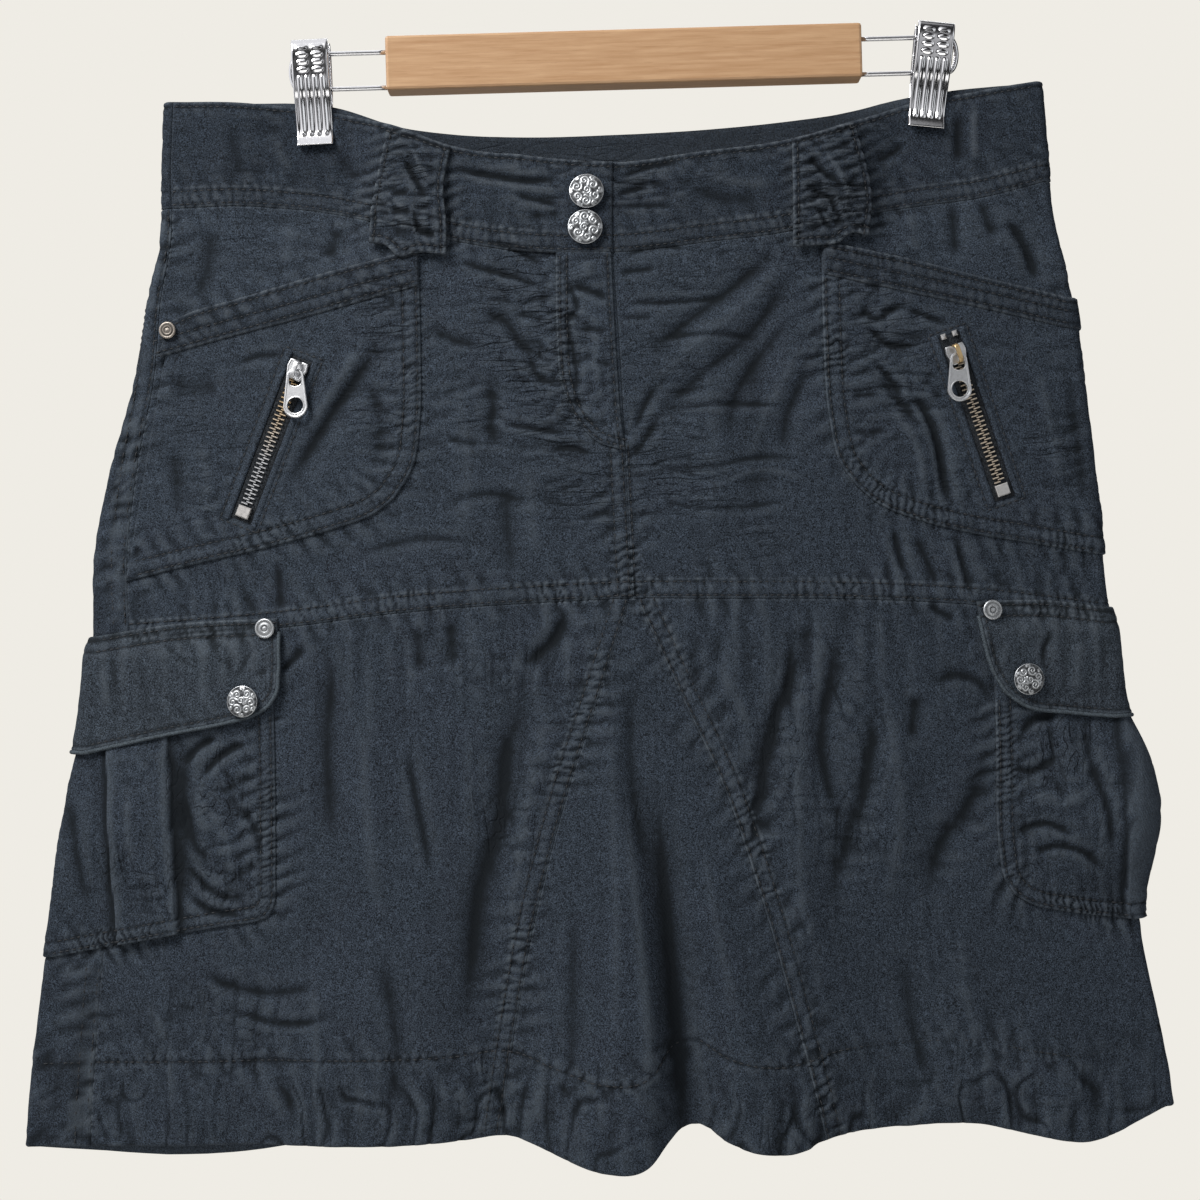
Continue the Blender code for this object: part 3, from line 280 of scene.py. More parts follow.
# A clip's plate from the side.
CLIP_PROFILE = table("drop stand wall", (
    (0.6, 5.6, 0.8), (3.0, 6.6, 3.6), (13.0, 6.8, 4.4), (22.0, 5.6, 3.2), (27.0, 3.7, 1.2),
    (31.0, 2.5, 0.4), (44.5, 2.5, 0.4), (47.0, 4.0, 0.4),
))

# Creases pressed or hung into the cloth. A trough has a depth below zero, and lean tips its profile to
# one side, as where one bank is steeper.
Crease = namedtuple("Crease", "width depth lean path")
CREASES = [Crease(*row) for row in (
    # waistband
    (1.9, -1.3, 0.6, [(-80, 61), (-59, 66), (-43, 69), (-27, 67.5)]),
    (1.7, -0.9, 0.5, [(-52, 74), (-35, 79), (-28, 80)]),
    (2.3, -0.6, 0.0, [(-45, 84), (-28, 84)]),
    (1.7, -0.8, 0.5, [(-6, 69), (10, 64), (26, 62)]),
    (1.4, -0.9, 0.4, [(-6, 76), (10, 72)]),
    (1.6, -0.7, 0.4, [(-6, 82), (9, 81), (22, 82)]),
    (3.4, -0.8, 0.3, [(148, 38), (149, 66)]),
    (2.3, 0.7, 0.0, [(157, 35), (156, 66)]),
    (2.3, -0.7, 0.4, [(107, 64), (118, 59), (128, 52)]),
    (5.0, 0.8, 0.2, [(30, 66), (50, 72), (68, 74)]),
    (5.0, -0.7, 0.2, [(24, 74), (44, 79), (62, 80)]),
    (5.0, 0.6, 0.0, [(-160, 40), (-150, 62)]),
    (4.0, -0.6, 0.0, [(-178, 38), (-172, 64)]),
    (5.0, -0.6, 0.2, [(-132, 50), (-118, 66)]),
    # belt loops
    (1.4, -1.3, 0.5, [(-99, 56), (-95, 65), (-89, 76)]),
    (1.4, -1.2, 0.5, [(-95, 79), (-92, 90), (-83, 93)]),
    (1.3, -0.8, 0.3, [(-104, 73), (-96, 72)]),
    (1.3, -0.8, 0.3, [(-104, 81), (-95, 82)]),
    (1.4, 0.9, 0.3, [(-96, 50), (-90, 64), (-85, 70)]),
    (1.4, -1.2, 0.5, [(80, 60), (86, 68), (95, 74)]),
    (1.6, -1.0, 0.4, [(78, 76), (88, 80), (92, 90)]),
    (1.4, 0.9, 0.3, [(86, 56), (92, 66), (98, 84)]),
    # left front above the pocket, and the hip
    (1.7, -0.8, 0.5, [(-79, 102), (-66, 107), (-50, 112), (-36, 117)]),
    (1.6, -0.7, 0.5, [(-63, 94), (-50, 100), (-36, 107)]),
    (4.0, -1.1, 0.3, [(-70, 124), (-56, 131), (-47, 143), (-36, 148)]),
    (2.0, -0.8, 0.4, [(-47, 144), (-41, 156), (-36, 159), (-25, 158)]),
    (1.7, -0.6, 0.3, [(-53, 127), (-36, 131)]),
    (3.4, -0.8, 0.4, [(-91, 132), (-80, 138), (-65, 142)]),
    (4.0, -1.0, 0.0, [(-64, 153), (-62, 166), (-63, 177), (-60, 188)]),
    (1.4, -0.8, 0.6, [(-60, 176), (-44, 179), (-29, 182)]),
    (1.6, -0.6, 0.4, [(-84, 182), (-67, 186)]),
    (1.6, -0.7, 0.4, [(-40, 189), (-29, 188), (-18, 191)]),
    (9.0, 1.1, 0.0, [(-78, 150), (-74, 200), (-80, 240)]),
    (8.0, 0.9, 0.0, [(-48, 190), (-44, 240)]),
    (6.0, -0.8, 0.0, [(-58, 200), (-56, 246)]),
    (2.3, -0.6, 0.3, [(-88, 212), (-64, 207), (-44, 212)]),
    (1.9, -0.5, 0.3, [(-126, 232), (-96, 226), (-70, 228)]),
    (6.0, -0.9, 0.3, [(-186, 80), (-190, 104), (-196, 118)]),
    (7.0, 0.8, 0.0, [(-150, 80), (-154, 104)]),
    (5.0, -0.7, 0.3, [(-128, 84), (-136, 100)]),
    # right front
    (1.4, -0.5, 0.4, [(-7, 131), (12, 131)]),
    (1.6, -0.7, 0.4, [(-6, 104), (13, 100), (30, 101)]),
    (1.6, -0.7, 0.4, [(-6, 111), (13, 109)]),
    (2.3, -0.8, 0.4, [(-1, 182), (6, 168), (12, 158)]),
    (2.3, -0.8, 0.4, [(-3, 194), (6, 183), (11, 174)]),
    (10.0, 0.9, 0.0, [(30, 120), (34, 190), (30, 240)]),
    (9.0, -0.7, 0.0, [(52, 130), (54, 180), (50, 230)]),
    (4.6, -1.1, 0.3, [(70, 98), (48, 116), (22, 135), (4, 149)]),
    (6.0, 0.9, 0.0, [(73, 103), (50, 126), (24, 146), (4, 164)]),
    (5.0, -1.1, 0.3, [(75, 106), (53, 138), (27, 159), (3, 181)]),
    (5.0, -1.0, 0.3, [(76, 126), (62, 142), (45, 166), (39, 191)]),
    (5.0, 0.8, 0.0, [(78, 140), (66, 160), (54, 184), (50, 206)]),
    (4.0, -0.8, 0.2, [(79, 153), (68, 174), (64, 195)]),
    (1.5, -0.7, 0.4, [(-5, 124.5), (20, 124.5), (44, 122.7)]),
    (1.5, -0.6, 0.4, [(6, 141), (34, 139), (60, 142)]),
    (1.5, -0.6, 0.4, [(12, 172), (40, 170), (70, 172)]),
    (1.5, -0.5, 0.4, [(0, 196), (30, 198), (56, 194), (80, 196)]),
    (1.6, -0.5, 0.4, [(14, 214), (44, 216), (72, 213)]),
    (2.3, 0.5, 0.3, [(30, 208), (58, 200), (78, 206)]),
    (2.2, -0.9, 0.4, [(113, 226), (117, 248)]),
    (3.4, -0.9, 0.4, [(122, 228), (128, 242), (135, 256)]),
    (1.6, -0.9, 0.6, [(141, 230), (147, 259)]),
    (4.0, -0.9, 0.0, [(145, 80), (146, 108)]),
    (4.0, -0.9, 0.3, [(157, 79), (164, 100)]),
    (3.6, -1.3, 0.5, [(168, 88), (177, 102), (182, 120)]),
    (6.0, 0.9, 0.0, [(125, 84), (128, 106)]),
    # fly
    (1.9, -1.0, 0.5, [(-27, 116), (-18, 119), (-9, 123)]),
    (1.6, -0.7, 0.5, [(-28, 135), (-9, 137)]),
    (1.4, -0.6, 0.4, [(-18, 150), (-9, 152)]),
    (1.6, -0.9, 0.0, [(-29, 104), (-26, 119), (-24, 126), (-28, 131), (-27, 140), (-25, 153), (-25, 165),
                      (-22, 175)]),
    (4.0, 0.8, 0.0, [(-19, 104), (-18, 114)]),
    (2.3, 0.6, 0.0, [(-17, 126), (-16, 146), (-15, 170)]),
    # left hip pocket
    (4.6, -1.3, 0.5, [(-107, 133), (-126, 158), (-140, 178), (-149, 192), (-156, 207)]),
    (5.0, 1.0, 0.0, [(-116, 134), (-134, 162), (-146, 180)]),
    (1.4, -0.6, 0.4, [(-178, 146), (-164, 142), (-148, 143)]),
    (7.0, -0.8, 0.0, [(-209, 154), (-182, 155)]),
    (5.0, -0.7, 0.3, [(-120, 150), (-112, 176), (-118, 200)]),
    (6.0, 0.8, 0.0, [(-196, 172), (-190, 200), (-196, 224)]),
    (4.0, -0.6, 0.2, [(-206, 180), (-204, 214)]),
    # right hip pocket
    (1.6, -1.0, 0.5, [(100, 128), (108, 134), (116, 130), (121, 126)]),
    (1.6, -0.9, 0.5, [(121, 129), (133, 134), (143, 138)]),
    (1.7, -1.0, 0.5, [(103, 136), (115, 146), (128, 146)]),
    (1.6, -0.9, 0.4, [(105, 152), (115, 162), (119, 170)]),
    (3.6, -1.0, 0.3, [(107, 157), (118, 171), (126, 184)]),
    (2.3, -1.7, 0.5, [(122, 164), (131, 180), (135, 196), (136, 218)]),
    (1.9, -0.6, 0.3, [(94, 184), (113, 184)]),
    (1.9, -0.6, 0.3, [(95, 168), (109, 167)]),
    (4.0, 1.1, 0.0, [(112, 172), (124, 190), (128, 212)]),
    (5.0, 0.8, 0.0, [(180, 150), (186, 186), (190, 216)]),
    (5.0, -0.7, 0.2, [(194, 152), (198, 190), (202, 226)]),
    # lower left panel
    (4.4, -1.5, 0.5, [(-31, 258), (-37, 269), (-53, 284)]),
    (9.0, -2.0, 0.4, [(-52, 280), (-52, 295), (-60, 318), (-65, 353), (-74, 380), (-78, 409), (-82, 453)]),
    (8.0, 1.6, 0.0, [(-38, 290), (-46, 320), (-54, 360), (-64, 420)]),
    (7.0, -1.2, 0.0, [(-133, 270), (-139, 305), (-138, 365)]),
    (4.6, -0.9, 0.0, [(-97, 262), (-98, 286)]),
    (4.6, -0.9, 0.0, [(-83, 260), (-83, 284)]),
    (2.3, -0.7, 0.3, [(-105, 315), (-99, 348), (-94, 377)]),
    (2.3, -0.8, 0.4, [(-160, 284), (-147, 271)]),
    (3.6, -0.8, 0.3, [(-160, 232), (-159, 258)]),
    (8.0, 1.0, 0.0, [(-118, 280), (-122, 340), (-116, 400)]),
    (6.0, -0.9, 0.2, [(-120, 400), (-112, 440), (-116, 486)]),
    (5.0, 0.8, 0.0, [(-148, 410), (-146, 450), (-150, 486)]),
    (3.4, -0.8, 0.3, [(-204, 414), (-170, 424), (-140, 420)]),
    (2.3, -0.7, 0.3, [(-190, 430), (-160, 438), (-134, 432)]),
    (4.0, 0.7, 0.0, [(-226, 424), (-214, 446), (-216, 484)]),
    # lower right panel
    (5.4, -1.4, 0.3, [(68, 259), (69, 279), (57, 311), (50, 340), (46, 374)]),
    (5.4, -1.2, 0.2, [(89, 265), (82, 296), (78, 318), (87, 365)]),
    (6.0, -1.1, 0.0, [(102, 294), (99, 330), (89, 361), (76, 398)]),
    (2.0, -0.8, 0.4, [(127, 261), (141, 269)]),
    (4.0, -0.8, 0.2, [(121, 298), (118, 322)]),
    (3.4, -0.9, 0.5, [(127, 298), (138, 293), (149, 296), (155, 307)]),
    (7.0, -1.3, 0.3, [(154, 322), (144, 349), (129, 368), (124, 394)]),
    (7.0, 1.1, 0.0, [(60, 285), (66, 330), (66, 380), (76, 440)]),
    (7.0, 1.0, 0.0, [(108, 300), (112, 350), (104, 400)]),
    (6.0, 0.9, 0.0, [(136, 400), (140, 440), (150, 484)]),
    (6.0, -0.8, 0.2, [(110, 410), (116, 450), (124, 484)]),
    (5.0, 0.8, 0.0, [(28, 276), (44, 308), (46, 320)]),
    # godet
    (7.0, 1.3, 0.0, [(-11, 264), (-14, 330), (-14, 400), (-16, 469)]),
    (6.0, -1.3, 0.3, [(-2, 278), (-6, 315), (-3, 359), (1, 383)]),
    (6.0, 1.5, -0.4, [(-9, 330), (-5, 390), (-2, 442), (-1, 500)]),
    (7.0, -2.2, -0.4, [(4, 323), (8, 380), (12, 442), (14, 505)]),
    (6.0, 0.8, 0.0, [(22, 350), (30, 400), (38, 450)]),
    (5.0, -0.7, 0.2, [(-32, 380), (-34, 420), (-36, 470)]),
    # left flap and pouch
    (1.7, -0.4, 0.4, [(-213, 268), (-198, 280)]),
    (1.4, -0.3, 0.4, [(-184, 268), (-181, 286)]),
    (1.4, -0.3, 0.5, [(-180, 288), (-169, 270)]),
    (1.4, -0.3, 0.4, [(-174, 286), (-163, 281)]),
    (4.0, 0.5, 0.0, [(-240, 276), (-236, 300)]),
    (2.0, -1.3, 0.6, [(-204, 324), (-196, 315), (-187, 311)]),
    (2.0, -1.2, 0.6, [(-196, 330), (-187, 320), (-174, 313)]),
    (7.0, -1.3, -0.5, [(-204, 306), (-204, 345), (-203, 388)]),
    (4.4, 1.0, 0.0, [(-198, 336), (-186, 352), (-182, 374)]),
    (3.6, -1.2, 0.4, [(-206, 336), (-200, 356), (-192, 372)]),
    (2.0, -1.0, 0.4, [(-204, 366), (-192, 379), (-178, 384)]),
    (2.0, -1.1, 0.4, [(-204, 380), (-192, 388), (-176, 390)]),
    (1.9, -0.8, 0.4, [(-180, 340), (-172, 352), (-170, 366)]),
    (4.0, -0.8, 0.0, [(-256, 330), (-254, 360), (-248, 390)]),
    (3.6, 0.7, 0.0, [(-228, 330), (-227, 370)]),
    # right flap and pouch
    (1.6, -0.7, 0.4, [(184, 272), (178, 284), (180, 298)]),
    (4.0, 0.6, 0.0, [(196, 276), (192, 304)]),
    (2.2, -1.3, 0.5, [(166, 322), (174, 314), (186, 312)]),
    (2.0, -1.0, 0.5, [(160, 334), (172, 336), (184, 330)]),
    (1.9, -1.0, 0.5, [(162, 364), (176, 360), (190, 366)]),
    (1.9, -1.0, 0.5, [(168, 374), (182, 370), (194, 374), (204, 384)]),
    (3.6, 1.0, 0.0, [(168, 344), (182, 350), (198, 346)]),
    (2.3, -0.9, 0.4, [(196, 330), (202, 350), (206, 376)]),
    # back: the hanging folds' creases, and those from sitting
    (4.0, -1.0, 0.4, [(-300, 120), (-330, 126), (-370, 122)]),
    (3.4, -0.9, 0.4, [(-290, 138), (-320, 146), (-352, 144)]),
    (3.6, -0.9, 0.4, [(-380, 130), (-410, 138), (-436, 134)]),
    (8.0, 1.2, 0.0, [(-340, 170), (-344, 240), (-352, 320)]),
    (7.0, -1.2, 0.2, [(-372, 200), (-378, 280), (-388, 380)]),
    (6.0, -1.0, 0.2, [(-312, 240), (-318, 320), (-330, 420)]),
    (7.0, 1.1, 0.0, [(-408, 260), (-414, 350), (-424, 450)]),
    (5.0, -0.9, 0.3, [(-300, 420), (-340, 430), (-370, 424)]),
    (4.0, -1.0, 0.4, [(250, 122), (280, 128), (310, 122)]),
    (3.4, -0.9, 0.4, [(232, 140), (262, 148), (296, 144)]),
    (3.6, -0.9, 0.4, [(330, 128), (356, 136), (380, 130)]),
    (8.0, 1.2, 0.0, [(290, 180), (296, 260), (306, 340)]),
    (7.0, -1.2, 0.2, [(324, 210), (332, 300), (344, 400)]),
    (6.0, -1.0, 0.2, [(262, 250), (270, 330), (284, 430)]),
    (7.0, 1.1, 0.0, [(362, 260), (372, 350), (386, 450)]),
    (5.0, -0.9, 0.3, [(300, 410), (330, 420), (362, 414)]),
)]


# ---- The hanging shape ------------------------------------------------------------------------

def smooth(at, places, values):
    """Cubic curve through a table's column, level past both ends."""
    at = np.clip(at, places[0], places[-1])
    slopes = np.gradient(values, places)
    i = np.clip(np.searchsorted(places, at) - 1, 0, len(places) - 2)
    span = places[i + 1] - places[i]
    t = (at - places[i]) / span
    start = (1 + 2 * t) * (1 - t) ** 2 * values[i] + t * (1 - t) ** 2 * span * slopes[i]
    end = t * t * (3 - 2 * t) * values[i + 1] + t * t * (t - 1) * span * slopes[i + 1]
    return start + end


def read(source, column, at):
    """A table's column at places along its first one, as a smooth curve."""
    return smooth(at, next(iter(source.values())), source[column])


def ramp(at, start, end):
    """0 up to start, 1 from end on, and smooth between them."""
    t = np.clip((at - start) / (end - start), 0, 1)
    return t * t * (3 - 2 * t)


def fold_starts(drop):
    """Where the front turns into the left and the right fold."""
    return read(SECTIONS, "left", drop) + FOLD_REACH, read(SECTIONS, "right", drop) - FOLD_REACH


def unwrap(across, drop):
    """A point of the cloth in plan: x, x without the fold's roundness, and 1 front to -1 back."""
    left, right = fold_starts(drop)
    past_left, past_right = left - across, across - right
    angle = np.clip(np.maximum(past_left, past_right) / FOLD_RADIUS, 0, math.pi)
    flat = np.clip(across, left, right)
    flat = np.where(past_left > HALF_TURN, left + past_left - HALF_TURN, flat)
    flat = np.where(past_right > HALF_TURN, right - past_right + HALF_TURN, flat)
    outwards = np.where(past_left > 0, -1, 1) * FOLD_RADIUS * np.sin(angle)
    return flat + outwards, flat, np.cos(angle)


def grip(x, drop):
    """1 where a clip pinches the layers together, falling to 0 round about."""
    hold = 0
    for clip_x, lean in CLIPS.values():
        middle = clip_x - math.tan(math.radians(lean)) * GRIP_DROP
        hold = np.maximum(hold, 1 - ramp(np.abs(x - middle), *GRIP_HALF_WIDTHS))
    return hold * (1 - ramp(drop, *GRIP_DROPS))


def hem_folds(x, drop, side):
    """How far the soft folds lift one layer outwards."""
    lift = 0
    for row in zip(*FOLDS.values()):
        fold_side, x_start, x_hem, width_start, width_hem, depth, start = row
        if fold_side == side:
            down = np.clip((drop - start) / (HEM["front"][0] - start), 0, 1.1)
            middle = x_start + (x_hem - x_start) * down
            width = width_start + (width_hem - width_start) * down
            lift = lift + depth * down ** FOLD_EASING * np.exp(-((x - middle) / width) ** 2)
    return lift


def surface(across, drop):
    """Points on the inner face of the skirt, in millimetres."""
    x, flat, facing = unwrap(across, drop)
    left, right = fold_starts(drop)
    share = np.clip((flat - left) / (right - left), 0, 1)
    crown = (4 * share * (1 - share)) ** CROWN_POWER
    fade = ramp(np.minimum(flat - left, right - flat), 0, FOLD_FADE)
    front = read(SECTIONS, "front", drop) * crown + hem_folds(flat, drop, 1) * fade
    back = read(SECTIONS, "back", drop) * crown + hem_folds(flat, drop, -1) * fade
    bulge = np.where(facing > 0, -front, back)
    held = grip(flat, drop)
    y = (bulge - facing * FOLD_RADIUS) * (1 - held) - np.sign(facing) * GRIP_GAP * held
    return np.stack([x, y, -drop], axis=-1)


def outward(across, drop):
    """Unit normals of the skirt, pointing out of it."""
    step = 0.4
    along = surface(across + step, drop) - surface(across - step, drop)
    down = surface(across, drop + step) - surface(across, drop - step)
    normal = np.cross(down, along)
    return normal / np.linalg.norm(normal, axis=-1, keepdims=True)


def row_drop(row, flat, facing):
    """Drop of a row station at a place in plan: -1 waist edge, 0 waist seam, 1 yoke seam, 2 hem."""
    def edge(source, front, back):
        return np.where(facing > 0, read(source, front, flat), read(source, back, flat))
    edges = [edge(WAISTLINE, "front_top", "back_top"), edge(WAISTLINE, "front_seam", "back_seam"),
             edge(YOKE, "front", "back"), edge(HEM, "front", "back")]
    low = np.clip(np.floor(row).astype(int) + 1, 0, 2)
    share = row + 1 - low
    return np.choose(low, edges[:3]) * (1 - share) + np.choose(low, edges[1:]) * share


def column_across(column, drop, row):
    """Across of a column station at a drop."""
    left, right = fold_starts(drop)
    side_in = read(SIDE_SEAMS, "side_in", drop) - FOLD_REACH
    centre_back = read(SIDE_SEAMS, "centre_back", drop)
    fly = read(FLY_EDGE, "x", drop)
    centre_left, centre_right = (np.where(row > YOKE_SEAM, read(GODET, edge, drop), fly) for edge in SIDES)
    places = [left - HALF_TURN - (centre_back - left), left - HALF_TURN, left, left + side_in,
              centre_left, centre_right, right, right + HALF_TURN, right + HALF_TURN + side_in,
              right + HALF_TURN + (right - centre_back)]
    low = np.clip(np.floor(column).astype(int), 0, 8)
    share = column - low
    return np.choose(low, places[:9]) * (1 - share) + np.choose(low, places[1:]) * share


SETTLING = 5


def place(column, row):
    """Across and drop of grid points, settled together because each bends the other."""
    drop = np.interp(row, (WAIST_EDGE, WAIST_SEAM, YOKE_SEAM, HEM_EDGE), USUAL_DROPS)
    for _ in range(SETTLING):
        across = column_across(column, drop, row)
        _, flat, facing = unwrap(across, drop)
        drop = row_drop(row, flat, facing)
    return across, drop


# ---- Paths on the cloth -----------------------------------------------------------------------

def flowing(points, step=2.0):
    """A smooth curve through the points, as points about a step apart."""
    points = np.array(points, float)
    run = np.concatenate([[0], np.cumsum(np.linalg.norm(np.diff(points, axis=0), axis=1))])
    at = np.linspace(0, run[-1], max(2, round(run[-1] / step) + 1))
    return np.stack([smooth(at, run, points[:, 0]), smooth(at, run, points[:, 1])], axis=-1)


def walk(path, share):
    """Points at shares of a path's length."""
    run = np.concatenate([[0], np.cumsum(np.linalg.norm(np.diff(path, axis=0), axis=1))])
    return np.stack([np.interp(share, run / run[-1], path[:, i]) for i in range(path.shape[1])], axis=-1)


def length_of(path):
    return float(np.linalg.norm(np.diff(path, axis=0), axis=1).sum())


def sideways(path):
    """Unit normals along a path: up for one that runs to the right, and to the right for one that runs
    down."""
    along = np.gradient(path, axis=0)
    along /= np.linalg.norm(along, axis=1, keepdims=True)
    return np.stack([along[:, 1], -along[:, 0]], axis=-1)


def near(points, path, reach):
    """The indices of the points within reach of a path's box, how far each is from the path, above zero
    on its normals' side, and the run along the path to there."""
    inside = (points > path.min(0) - reach) & (points < path.max(0) + reach)
    chosen = np.flatnonzero(inside.all(axis=1))
    start, along = path[:-1], np.diff(path, axis=0)
    length = np.linalg.norm(along, axis=1)
    normal = np.stack([along[:, 1], -along[:, 0]], axis=-1) / length[:, None]
    run_at = np.concatenate([[0], np.cumsum(length)])
    distance, run = np.empty(len(chosen)), np.empty(len(chosen))
    chunk = max(1, 1_500_000 // len(length))
    for first in range(0, len(chosen), chunk):
        part = slice(first, first + chunk)
        gap = points[chosen[part]][:, None] - start
        share = np.clip((gap * along).sum(-1) / length ** 2, 0, 1)
        gap -= share[..., None] * along
        away = np.hypot(gap[..., 0], gap[..., 1])
        row, k = np.arange(len(away)), away.argmin(axis=1)
        distance[part] = np.copysign(away[row, k], (gap[row, k] * normal[k]).sum(-1))
        run[part] = run_at[k] + share[row, k] * length[k]
    return chosen, distance, run


def seam_line(columns, rows, count=120):
    """A path along the panels' own lines, from one pair of stations to another."""
    across, drop = place(np.linspace(*columns, count), np.linspace(*rows, count))
    return np.stack([across, drop], axis=-1)


# ---- Seams ------------------------------------------------------------------------------------
# Offsets are to a path's normal side: up from one that runs to the right, right from one that runs
# down. Between a band's offsets the doubled cloth stands up by rise.
Seam = namedtuple("Seam", "holder on path rows pucker pitch worn band rise", defaults=((), (0, 0), 0))
BELOW = YOKE_SEAM + 1e-6
HEM_STITCHED = (0, 37)      # from the hem's edge up to its row
FLY_END = 186               # the drop from which the centre seam has its own rows
BARE_SIDE_DROPS = ((0, 262), (412, 600))     # where no pocket or flap lies over a side seam


def body_seams():
    """The seams between the panels, each with the stitching beside it."""
    seams = []

    def sewn(path, *rest):
        seams.append(Seam("body", "body", path, *rest))

    fronts = (SIDE_LEFT, CENTRE_LEFT), (CENTRE_RIGHT, SIDE_RIGHT - 1e-6)
    backs = (CENTRE_BACK_START, SIDE_LEFT), (SIDE_RIGHT, CENTRE_BACK_END)
    for columns in fronts + backs:
        waist, top, hem = (seam_line(columns, (row, row), 240) for row in (WAIST_SEAM, WAIST_EDGE, HEM_EDGE))
        seams.append(Seam("waistband", "band", waist, (1.6, 7.4), 0.20, 4.2, (0.3, 9.2), (0, 9), 0.35))
        seams.append(Seam("waistband", "band", top, (-2.2,), 0.16, 4.6, (-0.5,)))
        sewn(hem - HEM_STITCHED, (0,), 0.30, 4.2)
    middle_hem = seam_line((CENTRE_LEFT + 0.01, CENTRE_RIGHT - 0.01), (HEM_EDGE, HEM_EDGE))
    sewn(middle_hem - HEM_STITCHED, (0,), 0.34, 6.4)
    yoke = [seam_line(columns, (YOKE_SEAM, YOKE_SEAM), 200) for columns in fronts]
    sewn(np.concatenate([yoke[0], yoke[1][1:]]), (1.3, 7.2), 0.34, 3.9, (0.1, 8.4), (0, 8.6), 0.45)
    left, right = (seam_line((column, column), (BELOW, HEM_EDGE)) for column in (CENTRE_LEFT, CENTRE_RIGHT))
    sewn(left, (-1.3, -6.8), 0.42, 3.9, (-0.2, -8), (-8, 0), 0.4)
    sewn(right, (1.3, 6.8), 0.36, 4.2, (0.2, 8), (0, 8), 0.4)
    centre = seam_line((CENTRE_LEFT, CENTRE_LEFT), (WAIST_SEAM, YOKE_SEAM))
    sewn(centre[centre[:, 1] > FLY_END], (-1.4, -6.4, 1.4), 0.4, 3.6, (-0.1,), (-7.4, 0), 0.35)
    for column, out in ((SIDE_LEFT, -1), (SIDE_RIGHT, 1)):
        line = seam_line((column, column), (WAIST_SEAM, HEM_EDGE), 200)
        for top, bottom in BARE_SIDE_DROPS:
            stretch = line[(line[:, 1] > top) & (line[:, 1] < bottom)]
            sewn(stretch, (1.4 * out, 7.0 * out), 0.42, 3.9, (0.2 * out, 8 * out),
                 tuple(sorted((0, 8 * out))), 0.4)
    for column, rows, worn in ((CENTRE_BACK_START, (1.4, 6.6), 0.3), (CENTRE_BACK_END, (-1.4,), -0.3)):
        sewn(seam_line((column, column), (WAIST_SEAM, HEM_EDGE), 200), rows, 0.36, 4.8, (worn,))
    return seams


def offset_edge(spec, name, start=0.0, end=1.0):
    """A stretch of a piece's edge as a path."""
    return walk(flowing(spec[name]), np.linspace(start, end, 90))


def open_outline(spec, inner, start, every, step=2.0):
    """A path down a piece's inner edge from a share of it, round the corner and along its bottom."""
    upright, level = offset_edge(spec, inner, start), offset_edge(spec, "bottom")
    outline = np.concatenate([upright, (level[::-1] if inner == "right" else level)[1:]])
    return flowing(outline[::every], step)


def pocket_seams(side):
    """The stitching round a hip pocket, its band and its zip. Offsets point into the pocket."""
    spec, inward = HIP_POCKETS[side], INWARD[side]
    outline = open_outline(spec, INNER_EDGE[side], 0.14, 6)
    band, mouth = (offset_edge(spec["band"], edge) for edge in ("bottom", "top"))
    zip_frame = box_path(*ZIPS[side], ZIP_SLOT[0] + 7.2, ZIP_SLOT[1] + 4)
    return [Seam("hip_pockets", "pocket", outline, (inward * 1.6, inward * 7.6), 0.40, 3.7, (inward * 0.4,)),
            Seam("hip_pockets", "band_on_pocket", band, (2.0, 7.4), 0.18, 4.4, (0.2,)),
            Seam("hip_pockets", "band_on_pocket", mouth, (-2.2,), 0.22, 4.2, (-0.3,)),
            Seam("hip_pockets", "pocket", zip_frame, (0,), 0.16, 4.0)]


def box_corners(middle, lean, width, length):
    """A leaning box's corners: upper left, upper right, lower right, lower left."""
    across = np.array((math.cos(math.radians(lean)), math.sin(math.radians(lean)))) * width / 2
    down = np.array((-math.sin(math.radians(lean)), math.cos(math.radians(lean)))) * length / 2
    middle = np.array(middle)
    return [tuple(middle + i * across + j * down) for i, j in ROUND]


def box_path(middle, lean, width, length):
    """A leaning box's outline as a closed path with small steps."""
    corners = [np.array(box_corners(middle, lean, width, length)[i]) for i in (0, 3, 2, 1, 0)]
    path = [corners[0]]
    for a, b in zip(corners, corners[1:]):
        steps = max(1, round(float(np.linalg.norm(b - a)) / 3))
        path += [a + (b - a) * (i + 1) / steps for i in range(steps)]
    return np.array(path)


def cargo_seams(side):
    """The stitching round a cargo pocket and its flap."""
    spec, inner, inward = CARGO[side], INNER_EDGE[side], INWARD[side]
    outline = open_outline(spec["pouch"], inner, 0.22, 6)
    top = offset_edge(spec["flap"], "top")
    edge = open_outline(spec["flap"], inner, 0.12, 5)
    return [Seam("cargo_pockets", f"pouch_{side}", outline, (inward * 1.6, inward * 6.6), 0.42, 2.9,
                 (inward * 0.4,)),
            Seam("flaps", f"flap_{side}", top, (-2.0, -7.0), 0.24, 4.0, (-0.4,)),
            Seam("flaps", f"flap_{side}", edge, (inward * 2.4,), 0.12, 4.0, (inward * 0.9,))]


def fly_seams():
    """The curved row beside the fly, and the row along its open edge."""
    curve = flowing([(-32.4, 102), *FLY["left"][1:], *FLY["bottom"][1:]])
    return [Seam("fly", "fly", curve, (1.6, 4.6), 0.36, 3.2, (0.2,)),
            Seam("fly", "fly", flowing(FLY["right"]), (-1.8,), 0.12, 4.0, (-0.4,))]


